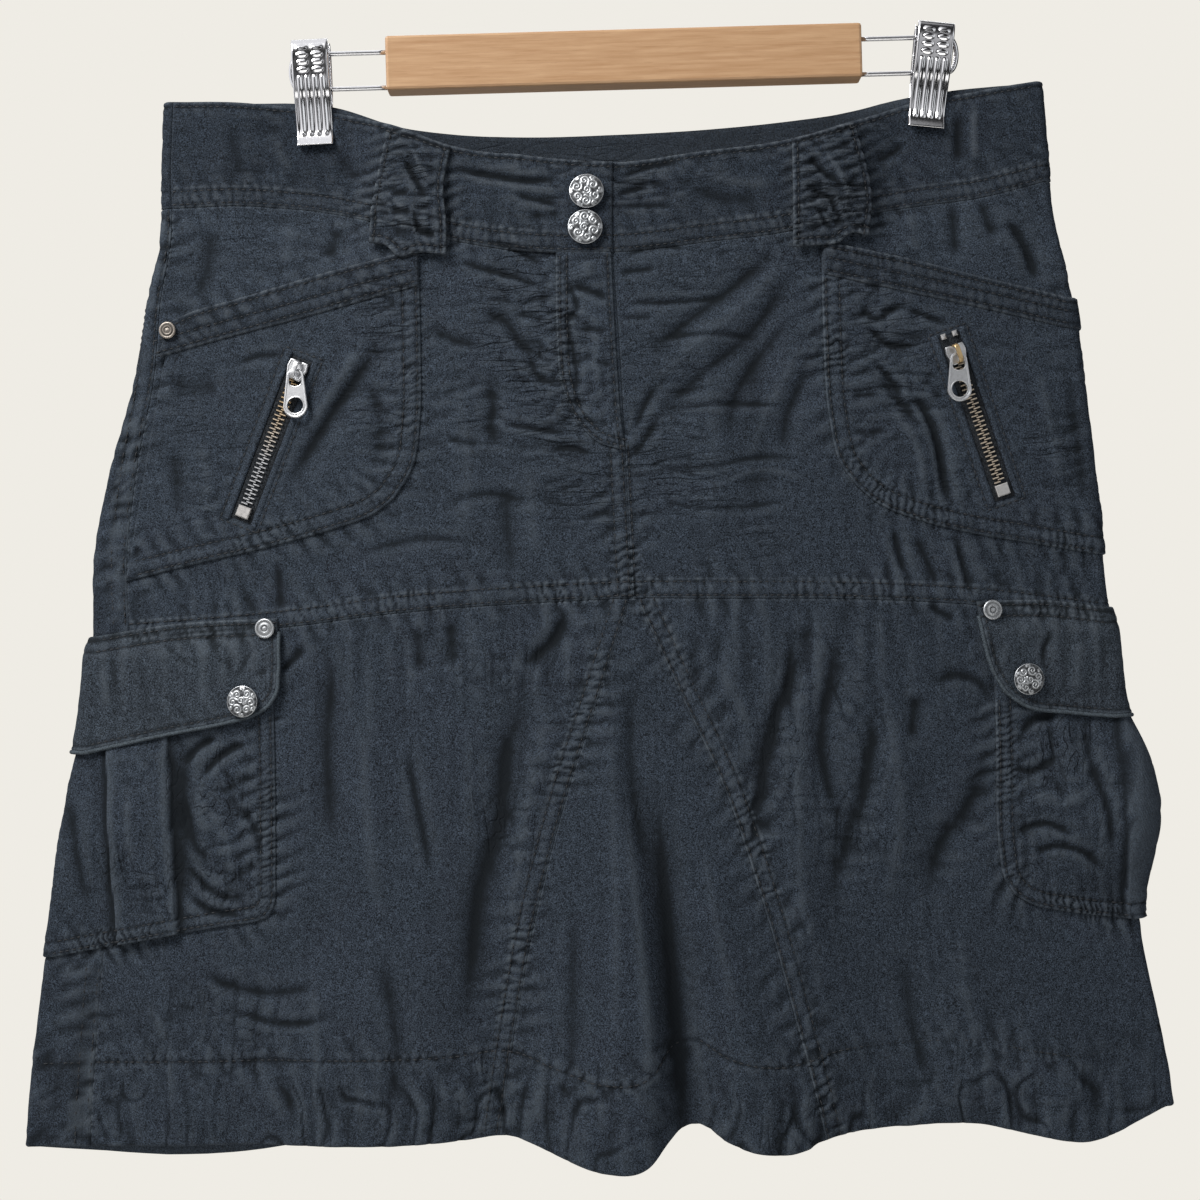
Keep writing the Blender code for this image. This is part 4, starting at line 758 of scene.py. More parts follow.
# The rows along each edge of a belt loop: their offsets, pucker, pitch and worn lines.
LOOP_ROWS = {"left": ((2.4,), 0.42, 2.2, (0.4,)), "right": ((-2.4,), 0.42, 2.2, (-0.4,)),
             "bottom": ((3.4,), 0.2, 3.0, (0.5, 1.2)), "top": ((-2.2,), 0.2, 3.0, (-0.5,))}


def loop_seams():
    return [Seam("belt_loops", f"loop_{name}", flowing(spec[edge]), *rows)
            for name, spec in BELT_LOOPS.items() for edge, rows in LOOP_ROWS.items()]


def all_seams():
    seams = body_seams() + fly_seams() + loop_seams()
    for side in SIDES:
        seams += pocket_seams(side) + cargo_seams(side)
    return seams


SEAMS = all_seams()
SEAM_REACH = 24.0
GATHER_REACH = 11.0     # over which the loose gathers beside a seam die away
TIGHT_GATHER = 1.05     # shares of a seam's pucker
LOOSE_GATHER = 1.05
ROW_GROOVE = 0.36
GROOVE_WIDTH = 0.9
CREASE_GAIN = 1.5
CRUMPLED_ELSEWHERE = 0.34
CRUMPLED = (            # middle, size and strength
    (-42, 150, 44, 62, 1.35), (14, 170, 26, 70, 0.95), (-112, 150, 26, 50, 1.0), (112, 152, 34, 44, 1.2),
    (-222, 360, 28, 56, 1.1), (-182, 352, 24, 52, 1.7), (186, 350, 34, 52, 1.3), (-90, 470, 120, 30, 0.85),
    (-190, 440, 46, 30, 1.2), (0, 66, 56, 22, 1.2), (-98, 74, 16, 34, 1.7), (90, 74, 16, 34, 1.7),
    (-58, 330, 34, 90, 0.95), (84, 330, 40, 90, 0.95), (-198, 196, 18, 60, 0.7), (186, 190, 22, 50, 0.7),
    (150, 440, 44, 36, 0.8), (0, 210, 90, 26, 0.8), (-300, 150, 90, 60, 0.9), (300, 150, 90, 60, 0.9),
    (-340, 330, 90, 140, 0.7), (330, 330, 90, 140, 0.7), (0, 484, 300, 22, 0.7),
)
HEM_BAND = (458, 470)   # drops over which the hem's own creases set in
DRIFT = 3.0             # how far random creases wander
CALM = 0.88             # share of the relief that is pressed flat under something hard
CALM_SPOTS = [(x, drop, 8.5, 8.5) for x, drop in WAIST_BUTTONS.values()]
CALM_SPOTS += [(x, drop, 8.0, 8.0) for x, drop in FLAP_BUTTONS.values()]
CALM_SPOTS += [(x, drop, 6.0, 6.0) for x, drop in (*FLAP_RIVETS.values(), *HIP_RIVETS.values())]
CALM_SPOTS += [(across, GRIP_DROP, 10.0, 14.0) for across in (-139.5, 134.5)]
CREASE_END = 0.3        # share of a crease's length over which it fades at each end
CREASE_REACH = 2.6      # in widths
CREASE_PATHS = [flowing(crease.path, 2.5) for crease in CREASES]


# ---- Relief of the cloth ----------------------------------------------------------------------

def patchy(points, size, seed):
    """Soft random patches from -1 to 1, of the given size across and down."""
    lattice = np.random.default_rng(seed).uniform(-1, 1, (97, 97))
    at = points / np.array(size, float) + 1000
    cell = np.floor(at).astype(int)
    t = at - cell
    t = t * t * (3 - 2 * t)
    i, j = cell[:, 0] % 96, cell[:, 1] % 96
    lattice[96], lattice[:, 96] = lattice[0], lattice[:, 0]
    upper = lattice[i, j] * (1 - t[:, 0]) + lattice[i + 1, j] * t[:, 0]
    lower = lattice[i, j + 1] * (1 - t[:, 0]) + lattice[i + 1, j + 1] * t[:, 0]
    return upper * (1 - t[:, 1]) + lower * t[:, 1]


def crumpled(points):
    """How strongly the cloth is crumpled, from the listed patches."""
    share = np.full(len(points), CRUMPLED_ELSEWHERE)
    for x, drop, wide, high, strength in CRUMPLED:
        reach = np.hypot((points[:, 0] - x) / wide, (points[:, 1] - drop) / high)
        share = np.maximum(share, strength * (1 - ramp(reach, 0.35, 1.25)))
    return share


def creased(points, size, seed):
    """Sharp lines that wander over the cloth: 1 on a line, falling to 0 beside it."""
    return np.clip(1 - 4.6 * np.abs(patchy(points, size, seed)), 0, 1) ** 1.2


# The random relief: soft patches, then sharp lines, each a height, its size across and down, and a seed.
LAYERS = {
    "across": (((0.22, (40, 8), 3), (0.16, (16, 4.2), 4)), ((0.46, (52, 9), 24), (0.44, (24, 5.2), 25))),
    "down": (((0.55, (15, 120), 5), (0.20, (7, 40), 6)), ((0.34, (26, 120), 26), (0.30, (10, 36), 29))),
    "fine": (((0.12, (5, 3.6), 28),), ((0.26, (9, 6), 30),)),
    "hem": (((1.0, (6, 26), 34),), ((0.9, (10, 20), 35),)),
}
HANGING_DROPS = (226, 262)      # over which crosswise crinkles give way to hanging gathers
YOKE_GATHERS = ((236, 256), (266, 322))     # where the gathers under the yoke's seam begin and end
YOKE_GATHER, HEM_GATHER = 0.55, 1.5


def layered(points, name):
    """One layer of the random relief."""
    patches, lines = LAYERS[name]
    soft = sum(height * patchy(points, size, seed) for height, size, seed in patches)
    return soft - sum(height * creased(points, size, seed) for height, size, seed in lines)


def rumple(points):
    """Unevenness all over: crosswise crinkles above the yoke, gathers that hang from it, and fine crumples
    in patches where the cloth was pressed together. Also how strong they are."""
    drop = points[:, 1]
    drift = np.stack([patchy(points, (23, 17), 21), patchy(points, (16, 21), 22)], axis=-1)
    bent = points + DRIFT * drift
    hanging = ramp(drop, *HANGING_DROPS)
    strong = crumpled(points) * np.clip(1 + 0.8 * patchy(points, (27, 19), 23), 0.3, 1.7)
    down = layered(bent, "down") + HEM_GATHER * ramp(drop, *HEM_BAND) * layered(bent, "hem")
    under_yoke = ramp(drop, *YOKE_GATHERS[0]) * (1 - ramp(drop, *YOKE_GATHERS[1]))
    gathered = YOKE_GATHER * under_yoke * patchy(points, (4.6, 36), 27)
    relief = layered(bent, "across") * (1 - hanging) + down * hanging + layered(bent, "fine")
    return strong * relief + gathered, strong


SPOT_CALM = (0.9, 1.8)      # where the calm round a spot ends, in shares of its reach
ZIP_CALM = (1.0, 8.0)       # and round a zip, past its slot


def calm_share(points):
    """1 where something hard holds the cloth flat, falling to 0 beside it."""
    share = np.zeros(len(points))
    for x, drop, wide, high in CALM_SPOTS:
        reach = np.hypot((points[:, 0] - x) / wide, (points[:, 1] - drop) / high)
        share = np.maximum(share, 1 - ramp(reach, *SPOT_CALM))
    for side in SIDES:
        u, v = box_place(points[:, 0], points[:, 1], *ZIPS[side])
        past = np.maximum(np.abs(u) - ZIP_SLOT[0] / 2, np.abs(v) - ZIP_SLOT[1] / 2)
        share = np.maximum(share, 1 - ramp(past, *ZIP_CALM))
    return share


# Painted shade along each row of stitches, and its spread; pale rubbed lines beside a seam, and their spread.
ROW_SHADE, ROW_SPREAD = 0.75, 0.62
LINE_PALE, LINE_SPREAD = 0.8, 0.7
GATHER_SHADE = 0.5          # painted shade in the gathers' troughs and painted highlight on their crests, beside their height


def seam_relief(seam, number, distance, run, jitter):
    """A seam's own gathers and rows, over a distance from it and a run along it: height, pale rubbing with
    painted highlight, and painted shade.
    """
    whole = length_of(seam.path)
    here = ramp(run, 0.0, 2.0) * ramp(whole - run, 0.0, 2.0)
    low, high = min(seam.rows), max(seam.rows)
    away = np.maximum(0, np.maximum(low - distance, distance - high))
    turn = 2 * math.pi * (run + 0.25 * distance) / seam.pitch + 2.4 * jitter[0]
    turn = turn + 2.2 * np.sin(run / 11.3 + number) + 1.3 * np.sin(run / 5.1 + 2 * number)
    uneven = np.clip(0.75 + 0.5 * np.sin(run / 16.7 + 3 * number) + 0.75 * jitter[1], 0.1, 1.6)
    wave = (2 * np.abs(np.sin(turn / 2)) ** 0.8 - 1.2) * uneven
    slow_turn = 0.36 * turn + 0.10 * distance + 1.7 * number + 1.1 * np.sin(run / 19.0 + 2 * number)
    slow_wave = (2 * np.abs(np.sin(slow_turn / 2)) - 1.2) * np.clip(0.8 + 1.1 * jitter[2], 0, 2)
    tight = np.exp(-(away / (seam.pitch * 0.7)) ** 2)
    loose = np.exp(-(away / GATHER_REACH) ** 2) * (1 - 0.7 * tight)
    height = here * seam.pucker * (TIGHT_GATHER * tight * wave + LOOSE_GATHER * loose * slow_wave)
    # Painted shade in the gathers' troughs, painted highlight on their crests.
    deep = here * seam.pucker * tight * np.clip(-wave, 0, 1) * GATHER_SHADE
    worn = here * seam.pucker * tight * np.clip(wave, 0, 1) * GATHER_SHADE
    for row in seam.rows:
        groove = here * np.exp(-((distance - row) / GROOVE_WIDTH) ** 2)
        height -= ROW_GROOVE * groove
        # painted shade along the row's groove
        deep += ROW_SHADE * here * np.exp(-((distance - row) / ROW_SPREAD) ** 2)
    if seam.rise:
        edge = ramp(distance, seam.band[0] - 0.3, seam.band[0] + 0.5)
        edge = edge * (1 - ramp(distance, seam.band[1] - 0.5, seam.band[1] + 0.6))
        height += seam.rise * edge * here
    for line in seam.worn:
        pale = LINE_PALE * here * np.exp(-((distance - line) / LINE_SPREAD) ** 2)
        worn += pale * np.clip(0.25 + 0.7 * wave + 0.3 * slow_wave, 0, 1)
    return height, worn, deep


def cloth_relief(across, drop):
    """Height over the plain ply, pale rubbing with painted highlight, painted shade in folds and rows of
    stitches, and how crumpled.
    """
    points = np.stack([np.ravel(across), np.ravel(drop)], axis=-1).astype(float)
    height, crumple = rumple(points)
    worn = np.zeros(len(points))
    deep = np.zeros(len(points))
    for crease, path in zip(CREASES, CREASE_PATHS):
        chosen, distance, run = near(points, path, crease.width * CREASE_REACH)
        if len(chosen):
            whole = length_of(path)
            fade = ramp(run, 0, whole * CREASE_END) * ramp(whole - run, 0, whole * CREASE_END)
            t = distance / crease.width
            shape = np.exp(-np.abs(t) ** 1.5) * fade
            height[chosen] += CREASE_GAIN * crease.depth * shape * (1 + crease.lean * t)
            # painted shade along the crease's trough
            deep[chosen] += max(0, -crease.depth) * 0.4 * np.exp(-np.abs(1.6 * t) ** 1.5) * fade
    jitter = [patchy(points, size, seed) for size, seed in (((3.1, 2.7), 31), ((9, 8), 32), ((16, 15), 33))]
    for number, seam in enumerate(SEAMS):
        chosen, distance, run = near(points, seam.path, SEAM_REACH)
        if len(chosen):
            added = seam_relief(seam, number, distance, run, [field[chosen] for field in jitter])
            height[chosen] += added[0]
            worn[chosen] += added[1]
            deep[chosen] += added[2]
    free = 1 - CALM * calm_share(points)
    height *= free
    size = np.shape(across)
    return height.reshape(size), worn.reshape(size), deep.reshape(size), (crumple * free).reshape(size)


# ---- Shells -----------------------------------------------------------------------------------

Grid = namedtuple("Grid", "across drop edge")
SEAM_ROLL, FREE_ROLL = 0.55, 1.1
ROLL_FLOOR = 0.3        # of the wall that is left at the very edge
RIDGE_HIGHLIGHT = 1.6       # painted highlight on top of pale rubbing, for each millimetre that a ridge stands over the cloth beside it
# painted shade for each millimetre that a hollow sinks below the cloth beside it
HOLLOW_SHADE = 2.2
EDGE_WORN = 0.4
INNER_PAINTED_LIGHT, INNER_CRUMPLE = 0.3, 0.4    # the plain inner face's fields: an even painted light that brightens its shaded side, and its crumple
MOST_SHOWN = 1.5


def grid_lines(length, cell, count=None):
    """Places along a length, closer at both ends, where the cloth rolls over."""
    roll = min(EDGE_ROLL, length / 8)
    inside = max(2, round((length - 2 * roll) / cell)) if count is None else count - 5
    while (inside + 4) % INNER_STEP:
        inside += 1
    between = np.linspace(roll, length - roll, inside + 1)
    return np.concatenate([[0, roll * 0.3], between, [length - roll * 0.3, length]])


def closeness(u, v, rolls):
    """0 at an edge and 1 where the cloth has levelled off, for rolls at top, right, bottom and left."""
    top, right, bottom, left = rolls
    down = np.minimum(v / top, (v[-1] - v) / bottom)
    along = np.minimum(u / left, (u[-1] - u) / right)
    return np.clip(np.minimum(down[:, None], along[None, :]), 0, 1)


def panel_grid(columns, rows, cell, rolls, count=None):
    """The grid of a panel between column and row stations, with a count of rows if that is given."""
    c = np.linspace(*columns, 300)
    middle = np.full(300, (rows[0] + rows[1]) / 2)
    if rows[0] >= YOKE_SEAM:
        middle[:] = rows[1] - 0.3
    across, drop = place(c, middle)
    step = np.abs(np.diff(across))
    turning = np.abs(unwrap(across[1:], drop[1:])[2]) < 0.999
    step = step * np.where(turning, FOLD_CELLS, 1)
    run = np.concatenate([[0], np.cumsum(step)])
    u = grid_lines(run[-1], cell)
    r = np.linspace(*rows, 100)
    fall = place(np.full(100, (columns[0] + columns[1]) / 2), np.maximum(r, rows[0] + 1e-6))[1]
    v = grid_lines(fall[-1] - fall[0], cell, count)
    column, row = np.meshgrid(np.interp(u, run, c), np.interp(v + fall[0], fall, r))
    if rows[0] >= YOKE_SEAM:
        row = np.maximum(row, BELOW)
    else:
        row = np.minimum(row, rows[1])
    across, drop = place(column, row)
    across[:, 0] += SEAM_INSET
    across[:, -1] -= SEAM_INSET
    drop[0] += SEAM_INSET
    drop[-1] -= SEAM_INSET
    return Grid(across, drop, closeness(u, v, rolls))


def patch_grid(spec, cell, rolls=(FREE_ROLL,) * 4):
    """The grid of a piece with four edges, spread evenly between them."""
    top, bottom, left, right = (flowing(spec[edge], 1.0) for edge in ("top", "bottom", "left", "right"))
    u = grid_lines((length_of(top) + length_of(bottom)) / 2, cell)
    v = grid_lines((length_of(left) + length_of(right)) / 2, cell)
    s, t = np.meshgrid(u / u[-1], v / v[-1])
    points = (1 - t)[..., None] * walk(top, s) + t[..., None] * walk(bottom, s)
    points += (1 - s)[..., None] * walk(left, t) + s[..., None] * walk(right, t)
    corners = (top[0], top[-1], bottom[0], bottom[-1])
    shares = ((1 - s) * (1 - t), s * (1 - t), (1 - s) * t, s * t)
    for corner, share in zip(corners, shares):
        points -= share[..., None] * corner
    return Grid(points[..., 0], points[..., 1], closeness(u, v, rolls))


def raised(lift, across, drop):
    """A lift's height at grid points, whether it is a function or a number."""
    return lift(across, drop) if callable(lift) else np.full(np.shape(across), float(lift))


def mesh_of(name, points, faces, fields=None):
    """A smooth mesh from points in millimetres, faces of three or four corners, and named fields."""
    mesh = bpy.data.meshes.new(name)
    mesh.vertices.add(len(points))
    mesh.vertices.foreach_set("co", (np.asarray(points, np.float32) * MM).ravel())
    corners = np.concatenate([np.ravel(f) for f in faces]).astype(np.int32)
    sizes = np.concatenate([np.full(len(f), np.shape(f)[1]) for f in faces])
    mesh.loops.add(len(corners))
    mesh.loops.foreach_set("vertex_index", corners)
    mesh.polygons.add(len(sizes))
    starts = np.concatenate([[0], np.cumsum(sizes)[:-1]]).astype(np.int32)
    mesh.polygons.foreach_set("loop_start", starts)
    mesh.update(calc_edges=True)
    for field, values in (fields or {}).items():
        mesh.attributes.new(field, "FLOAT", "POINT").data.foreach_set("value", values.astype(np.float32))
    mesh.shade_smooth()
    return mesh


def quads(index):
    """The faces of a grid of point numbers, facing the side that sees rows run down and lines run right."""
    return np.stack([index[1:, :-1], index[1:, 1:], index[:-1, 1:], index[:-1, :-1]], axis=-1).reshape(-1, 4)


def tube_faces(rings, sides):
    """The faces of rings of points, closed by one point before the first ring and one past the last, which
    come after the rings' own."""
    index = np.arange(rings * sides).reshape(rings, sides)
    index = np.concatenate([index, index[:, :1]], axis=1)
    first = np.full(sides, rings * sides)
    return [quads(index), np.stack([first, index[0, :-1], index[0, 1:]], axis=-1),
            np.stack([first + 1, index[-1, 1:], index[-1, :-1]], axis=-1)]


def rim_loop(index):
    """Point numbers round a grid's border: down the left, along the bottom, up the right and back."""
    return np.concatenate([index[:, 0], index[-1, 1:], index[::-1, -1][1:], index[0, ::-1][1:]])


def spread(values, cells):
    """A grid's values averaged over some cells each way, twice."""
    for axis in (0, 1):
        size = values.shape[axis]
        for _ in range(2):
            values = sum(np.take(values, np.clip(np.arange(size) + step, 0, size - 1), axis)
                         for step in range(-cells, cells + 1)) / (2 * cells + 1)
    return values


def lowest_nearby(values):
    """A grid's values, each lowered to its lowest neighbour inside the border, so that a coarser grid
    clears the creases."""
    rows, columns = values.shape
    made = values.copy()
    made[1:-1, 1:-1] = np.min([values[i:rows - 2 + i, j:columns - 2 + j]
                               for i in range(3) for j in range(3)], axis=0)
    return made


def cloth_shell(name, grid, lift, wall=WALL, seated=0.0):
    """A closed shell: a fine outer face with the relief, a coarse inner one, and a rim between them."""
    across, drop, edge = grid
    relief, worn, deep, crumple = cloth_relief(across, drop)
    low = raised(lift, across, drop)
    roll = ROLL_FLOOR + (1 - ROLL_FLOOR) * np.sqrt(1 - (1 - edge) ** 2)
    normal = outward(across, drop)
    base = surface(across, drop)
    outer = base + normal * (low + wall * roll + relief)[..., None]
    keep = np.ix_(range(0, across.shape[0], INNER_STEP), range(0, across.shape[1], INNER_STEP))
    inner = (base + normal * (lowest_nearby(low + relief) - seated)[..., None])[keep]
    fine = np.arange(across.size).reshape(across.shape)
    coarse = across.size + np.arange(inner[..., 0].size).reshape(inner.shape[:2])
    ring, under = rim_loop(fine), rim_loop(coarse)
    f0, f1, f2 = (ring[i::INNER_STEP][:len(under) - 1] for i in range(INNER_STEP))
    f3 = ring[INNER_STEP::INNER_STEP][:len(under) - 1]
    c0, c1 = under[:-1], under[1:]
    rim = [np.stack(three, axis=-1) for three in ((f1, f0, c0), (f2, f1, c0), (c0, c1, f2), (f3, f2, c1))]
    fade = 1 - np.clip(edge, 0, 1)
    total = relief + low
    sharp, broad = total - spread(total, 2), total - spread(total, 6)
    # Free edges are rubbed pale; ridges get painted highlight, and hollows and broad dips painted shade.
    worn = np.clip(worn + EDGE_WORN * fade + np.clip(RIDGE_HIGHLIGHT * sharp, 0, 0.6), 0, MOST_SHOWN)
    deep = deep + np.clip(-HOLLOW_SHADE * sharp, 0, 0.9) + np.clip(-0.5 * broad, 0, 0.5)
    # The inner face gets an even painted light and no painted shade.
    fields = {"worn": np.concatenate([worn.ravel(), np.full(coarse.size, INNER_PAINTED_LIGHT)]),
              "deep": np.concatenate([np.clip(deep, 0, MOST_SHOWN).ravel(), np.zeros(coarse.size)]),
              "crumple": np.concatenate([crumple.ravel(), np.full(coarse.size, INNER_CRUMPLE)])}
    points = np.concatenate([outer.reshape(-1, 3), inner.reshape(-1, 3)])
    return mesh_of(name, points, [quads(fine), quads(coarse)[:, ::-1], *rim], fields)


# ---- Finishes ---------------------------------------------------------------------------------

def feed(tree, made, inputs):
    """The node, with its inputs set to values or linked to other nodes' outputs."""
    for key, value in inputs.items():
        if isinstance(value, bpy.types.NodeSocket):
            tree.links.new(value, made.inputs[key])
        else:
            made.inputs[key].default_value = value
    return made


def node(tree, kind, inputs=None, **settings):
    """A new shader node with its settings and inputs."""
    made = tree.nodes.new(kind)
    for key, value in settings.items():
        setattr(made, key, value)
    return feed(tree, made, inputs or {})


def maths(tree, operation, a, b=0.0, c=0.0, clamp=False):
    return node(tree, "ShaderNodeMath", {0: a, 1: b, 2: c}, operation=operation,
                use_clamp=clamp).outputs[0]


def blend_colours(tree, share, first, second, kind="MIX"):
    return node(tree, "ShaderNodeMix", {0: share, 6: first, 7: second}, data_type="RGBA",
                blend_type=kind).outputs[2]


def object_space(tree):
    return node(tree, "ShaderNodeTexCoord").outputs["Object"]


def group_of(name, inputs, outputs):
    """An empty shader group with float inputs and typed outputs, and its input and output nodes."""
    tree = bpy.data.node_groups.new(name, "ShaderNodeTree")
    for socket, value in inputs.items():
        made = tree.interface.new_socket(socket, in_out="INPUT", socket_type="NodeSocketFloat")
        made.default_value = value
    for socket, kind in outputs.items():
        tree.interface.new_socket(socket, in_out="OUTPUT", socket_type=kind)
    return tree, tree.nodes.new("NodeGroupInput").outputs, tree.nodes.new("NodeGroupOutput").inputs


def noise(tree, where, scale, detail=2.0, roughness=0.5):
    return node(tree, "ShaderNodeTexNoise", {"Vector": where, "Scale": scale, "Detail": detail,
                                             "Roughness": roughness}).outputs["Fac"]


def woven_group():
    """Twill threads, their slubs, and the mottle of washed cotton."""
    tree, inputs, outputs = group_of("woven_cotton", {"Threads": 1900.0, "Mottle": 420.0},
                                     {"Tone": "NodeSocketFloat", "Relief": "NodeSocketFloat"})
    where = object_space(tree)
    turned = node(tree, "ShaderNodeMapping", {"Vector": where, "Rotation": (0, math.radians(27), 0)})
    wave = node(tree, "ShaderNodeTexWave", {"Vector": turned.outputs[0], "Scale": 260.0, "Distortion": 2.2,
                                            "Detail": 1.0, "Detail Scale": 3.0},
                wave_type="BANDS", bands_direction="X").outputs["Fac"]
    threads = noise(tree, where, inputs["Threads"], 1.0)
    mottle = noise(tree, where, inputs["Mottle"], 3.0, 0.6)
    patches = noise(tree, where, 46.0, 2.0)
    speckled = maths(tree, "MAXIMUM", maths(tree, "MULTIPLY_ADD", threads, 5.0, -1.50), 0.20)
    mottled = maths(tree, "MULTIPLY_ADD", mottle, 1.1, 0.45)
    patched = maths(tree, "MULTIPLY_ADD", patches, 0.36, 0.82)
    tone = maths(tree, "MULTIPLY", maths(tree, "MULTIPLY", speckled, mottled), patched)
    relief = maths(tree, "ADD", maths(tree, "MULTIPLY", wave, 0.35), maths(tree, "MULTIPLY", mottle, 0.65))
    tree.links.new(tone, outputs["Tone"])
    tree.links.new(relief, outputs["Relief"])
    return tree


def creased_lines(tree, where, stretch, scale):
    """Thin lines, 1 along their middles, that run across the direction in which space is stretched."""
    stretched = node(tree, "ShaderNodeMapping", {"Vector": where, "Scale": stretch}).outputs[0]
    waves = noise(tree, stretched, scale, 1.0)
    away = maths(tree, "ABSOLUTE", maths(tree, "SUBTRACT", waves, 0.5))
    return maths(tree, "SUBTRACT", 1.0, maths(tree, "MULTIPLY", away, 19.0), clamp=True)


def creasing_group():
    """The depth of fine creases: crosswise above the yoke seam and hanging below it, in patches."""
    tree, inputs, outputs = group_of("fine_creases", {"Amount": 0.5}, {"Depth": "NodeSocketFloat"})
    where = object_space(tree)
    height = node(tree, "ShaderNodeSeparateXYZ", {"Vector": where}).outputs["Z"]
    hanging = maths(tree, "MULTIPLY_ADD", height, -28.0, -6.5, clamp=True)
    across = maths(tree, "MAXIMUM", creased_lines(tree, where, (1.0, 1.0, 4.6), 34.0),
                   maths(tree, "MULTIPLY", creased_lines(tree, where, (1.0, 1.0, 3.6), 90.0), 0.6))
    down = maths(tree, "MAXIMUM", creased_lines(tree, where, (4.2, 1.0, 1.0), 26.0),
                 maths(tree, "MULTIPLY", creased_lines(tree, where, (2.6, 1.0, 1.6), 80.0), 0.6))
    both = maths(tree, "ADD", maths(tree, "MULTIPLY", across, maths(tree, "SUBTRACT", 1.0, hanging)),
                 maths(tree, "MULTIPLY", down, hanging))
    patches = maths(tree, "MULTIPLY_ADD", noise(tree, where, 30.0, 2.0), 5.0, -1.9, clamp=True)
    depth = maths(tree, "MULTIPLY", maths(tree, "MULTIPLY", both, patches), inputs["Amount"])
    tree.links.new(depth, outputs["Depth"])
    return tree


def fraying_group():
    """A mask of pale rubbed threads, broken up by noise, where the cloth is rubbed and where ridges take a
    painted highlight.
    """
    tree, inputs, outputs = group_of("rubbed_pale", {"Worn": 0.0, "Amount": 1.0},
                                     {"Mask": "NodeSocketFloat"})
    where = object_space(tree)
    grain = noise(tree, where, 1300.0, 3.0, 0.7)
    broken = maths(tree, "MULTIPLY", inputs["Worn"], maths(tree, "MULTIPLY_ADD", grain, 1.9, -0.42))
    tree.links.new(maths(tree, "MULTIPLY", broken, inputs["Amount"], clamp=True), outputs["Mask"])
    return tree


def field(tree, name):
    return node(tree, "ShaderNodeAttribute", attribute_name=name).outputs["Fac"]


def placed_group(tree, group, inputs=None):
    return node(tree, "ShaderNodeGroup", inputs, node_tree=group).outputs


def new_finish(name):
    """A material with its tree and its shader."""
    finish = bpy.data.materials.new(name)
    finish.use_nodes = True
    return finish, finish.node_tree, finish.node_tree.nodes["Principled BSDF"]


WOVEN = woven_group()
FRAYING = fraying_group()
CREASING = creasing_group()

CREASE_DEPTH = 0.55

# Washed cotton: colour, pale rubbed colour, how much of it shows, and the height of the weave.
COTTONS = {
    "skirt_cotton": ((0.0258, 0.0338, 0.0462), (0.100, 0.118, 0.135), 0.70, 0.24),
    "band_cotton": ((0.0190, 0.0252, 0.0350), (0.110, 0.126, 0.142), 0.75, 0.24),
    "flap_cotton": ((0.0310, 0.0395, 0.0510), (0.110, 0.128, 0.146), 0.70, 0.24),
    "piping_cotton": ((0.0400, 0.0510, 0.0620), (0.125, 0.144, 0.160), 0.50, 0.12),
    "zip_tape_cotton": ((0.0170, 0.0195, 0.0230), (0.070, 0.074, 0.080), 0.50, 0.30),
}


def cotton(name):
    """Matt washed cotton, rubbed pale in places, with painted highlight on its ridges and painted shade in
    its folds and rows of stitches.
    """
    colour, pale, amount, weave_height = COTTONS[name]
    finish, tree, shader = new_finish(name)
    woven = placed_group(tree, WOVEN)
    mask = placed_group(tree, FRAYING, {"Worn": field(tree, "worn"), "Amount": amount})["Mask"]
    toned = blend_colours(tree, 1.0, (*colour, 1), woven["Tone"], "MULTIPLY")
    # Painted highlight: where the cloth is rubbed and on its ridges, a lighter copy of its colour.
    crest = maths(tree, "MULTIPLY", field(tree, "worn"), 0.45, clamp=True)
    highlighted = blend_colours(tree, crest, toned, tuple(min(1, 1.75 * c) for c in colour) + (1,))
    rubbed = blend_colours(tree, mask, highlighted, (*pale, 1))
    crease = placed_group(tree, CREASING, {"Amount": field(tree, "crumple")})["Depth"]
    # Painted shade: fine creases, folds, hollows and rows of stitches turn darker.
    shadowed = maths(tree, "MULTIPLY_ADD", crease, 0.35, field(tree, "deep"))
    dark = maths(tree, "MULTIPLY", shadowed, 0.66, clamp=True)
    shaded = blend_colours(tree, dark, rubbed, (colour[0] * 0.30, colour[1] * 0.30, colour[2] * 0.28, 1))
    rough = maths(tree, "MULTIPLY_ADD", woven["Tone"], 0.10, 0.84)
    bump = node(tree, "ShaderNodeBump", {"Strength": 0.9, "Distance": weave_height * MM,
                                         "Height": woven["Relief"]})
    pressed = node(tree, "ShaderNodeBump", {"Strength": 1.0, "Distance": CREASE_DEPTH * MM, "Height": crease,
                                            "Normal": bump.outputs[0]}, invert=True)
    feed(tree, shader, {"Base Color": shaded, "Roughness": rough, "Specular IOR Level": 0.12,
                        "Normal": pressed.outputs[0]})
    return finish


def thread():
    """The dark sewing thread."""
    finish, tree, shader = new_finish("sewing_thread")
    where = object_space(tree)
    tone = noise(tree, where, 900.0, 2.0)
    colour = blend_colours(tree, tone, (0.004, 0.005, 0.007, 1), (0.020, 0.023, 0.028, 1))
    feed(tree, shader, {"Base Color": colour, "Roughness": 0.7})
    return finish


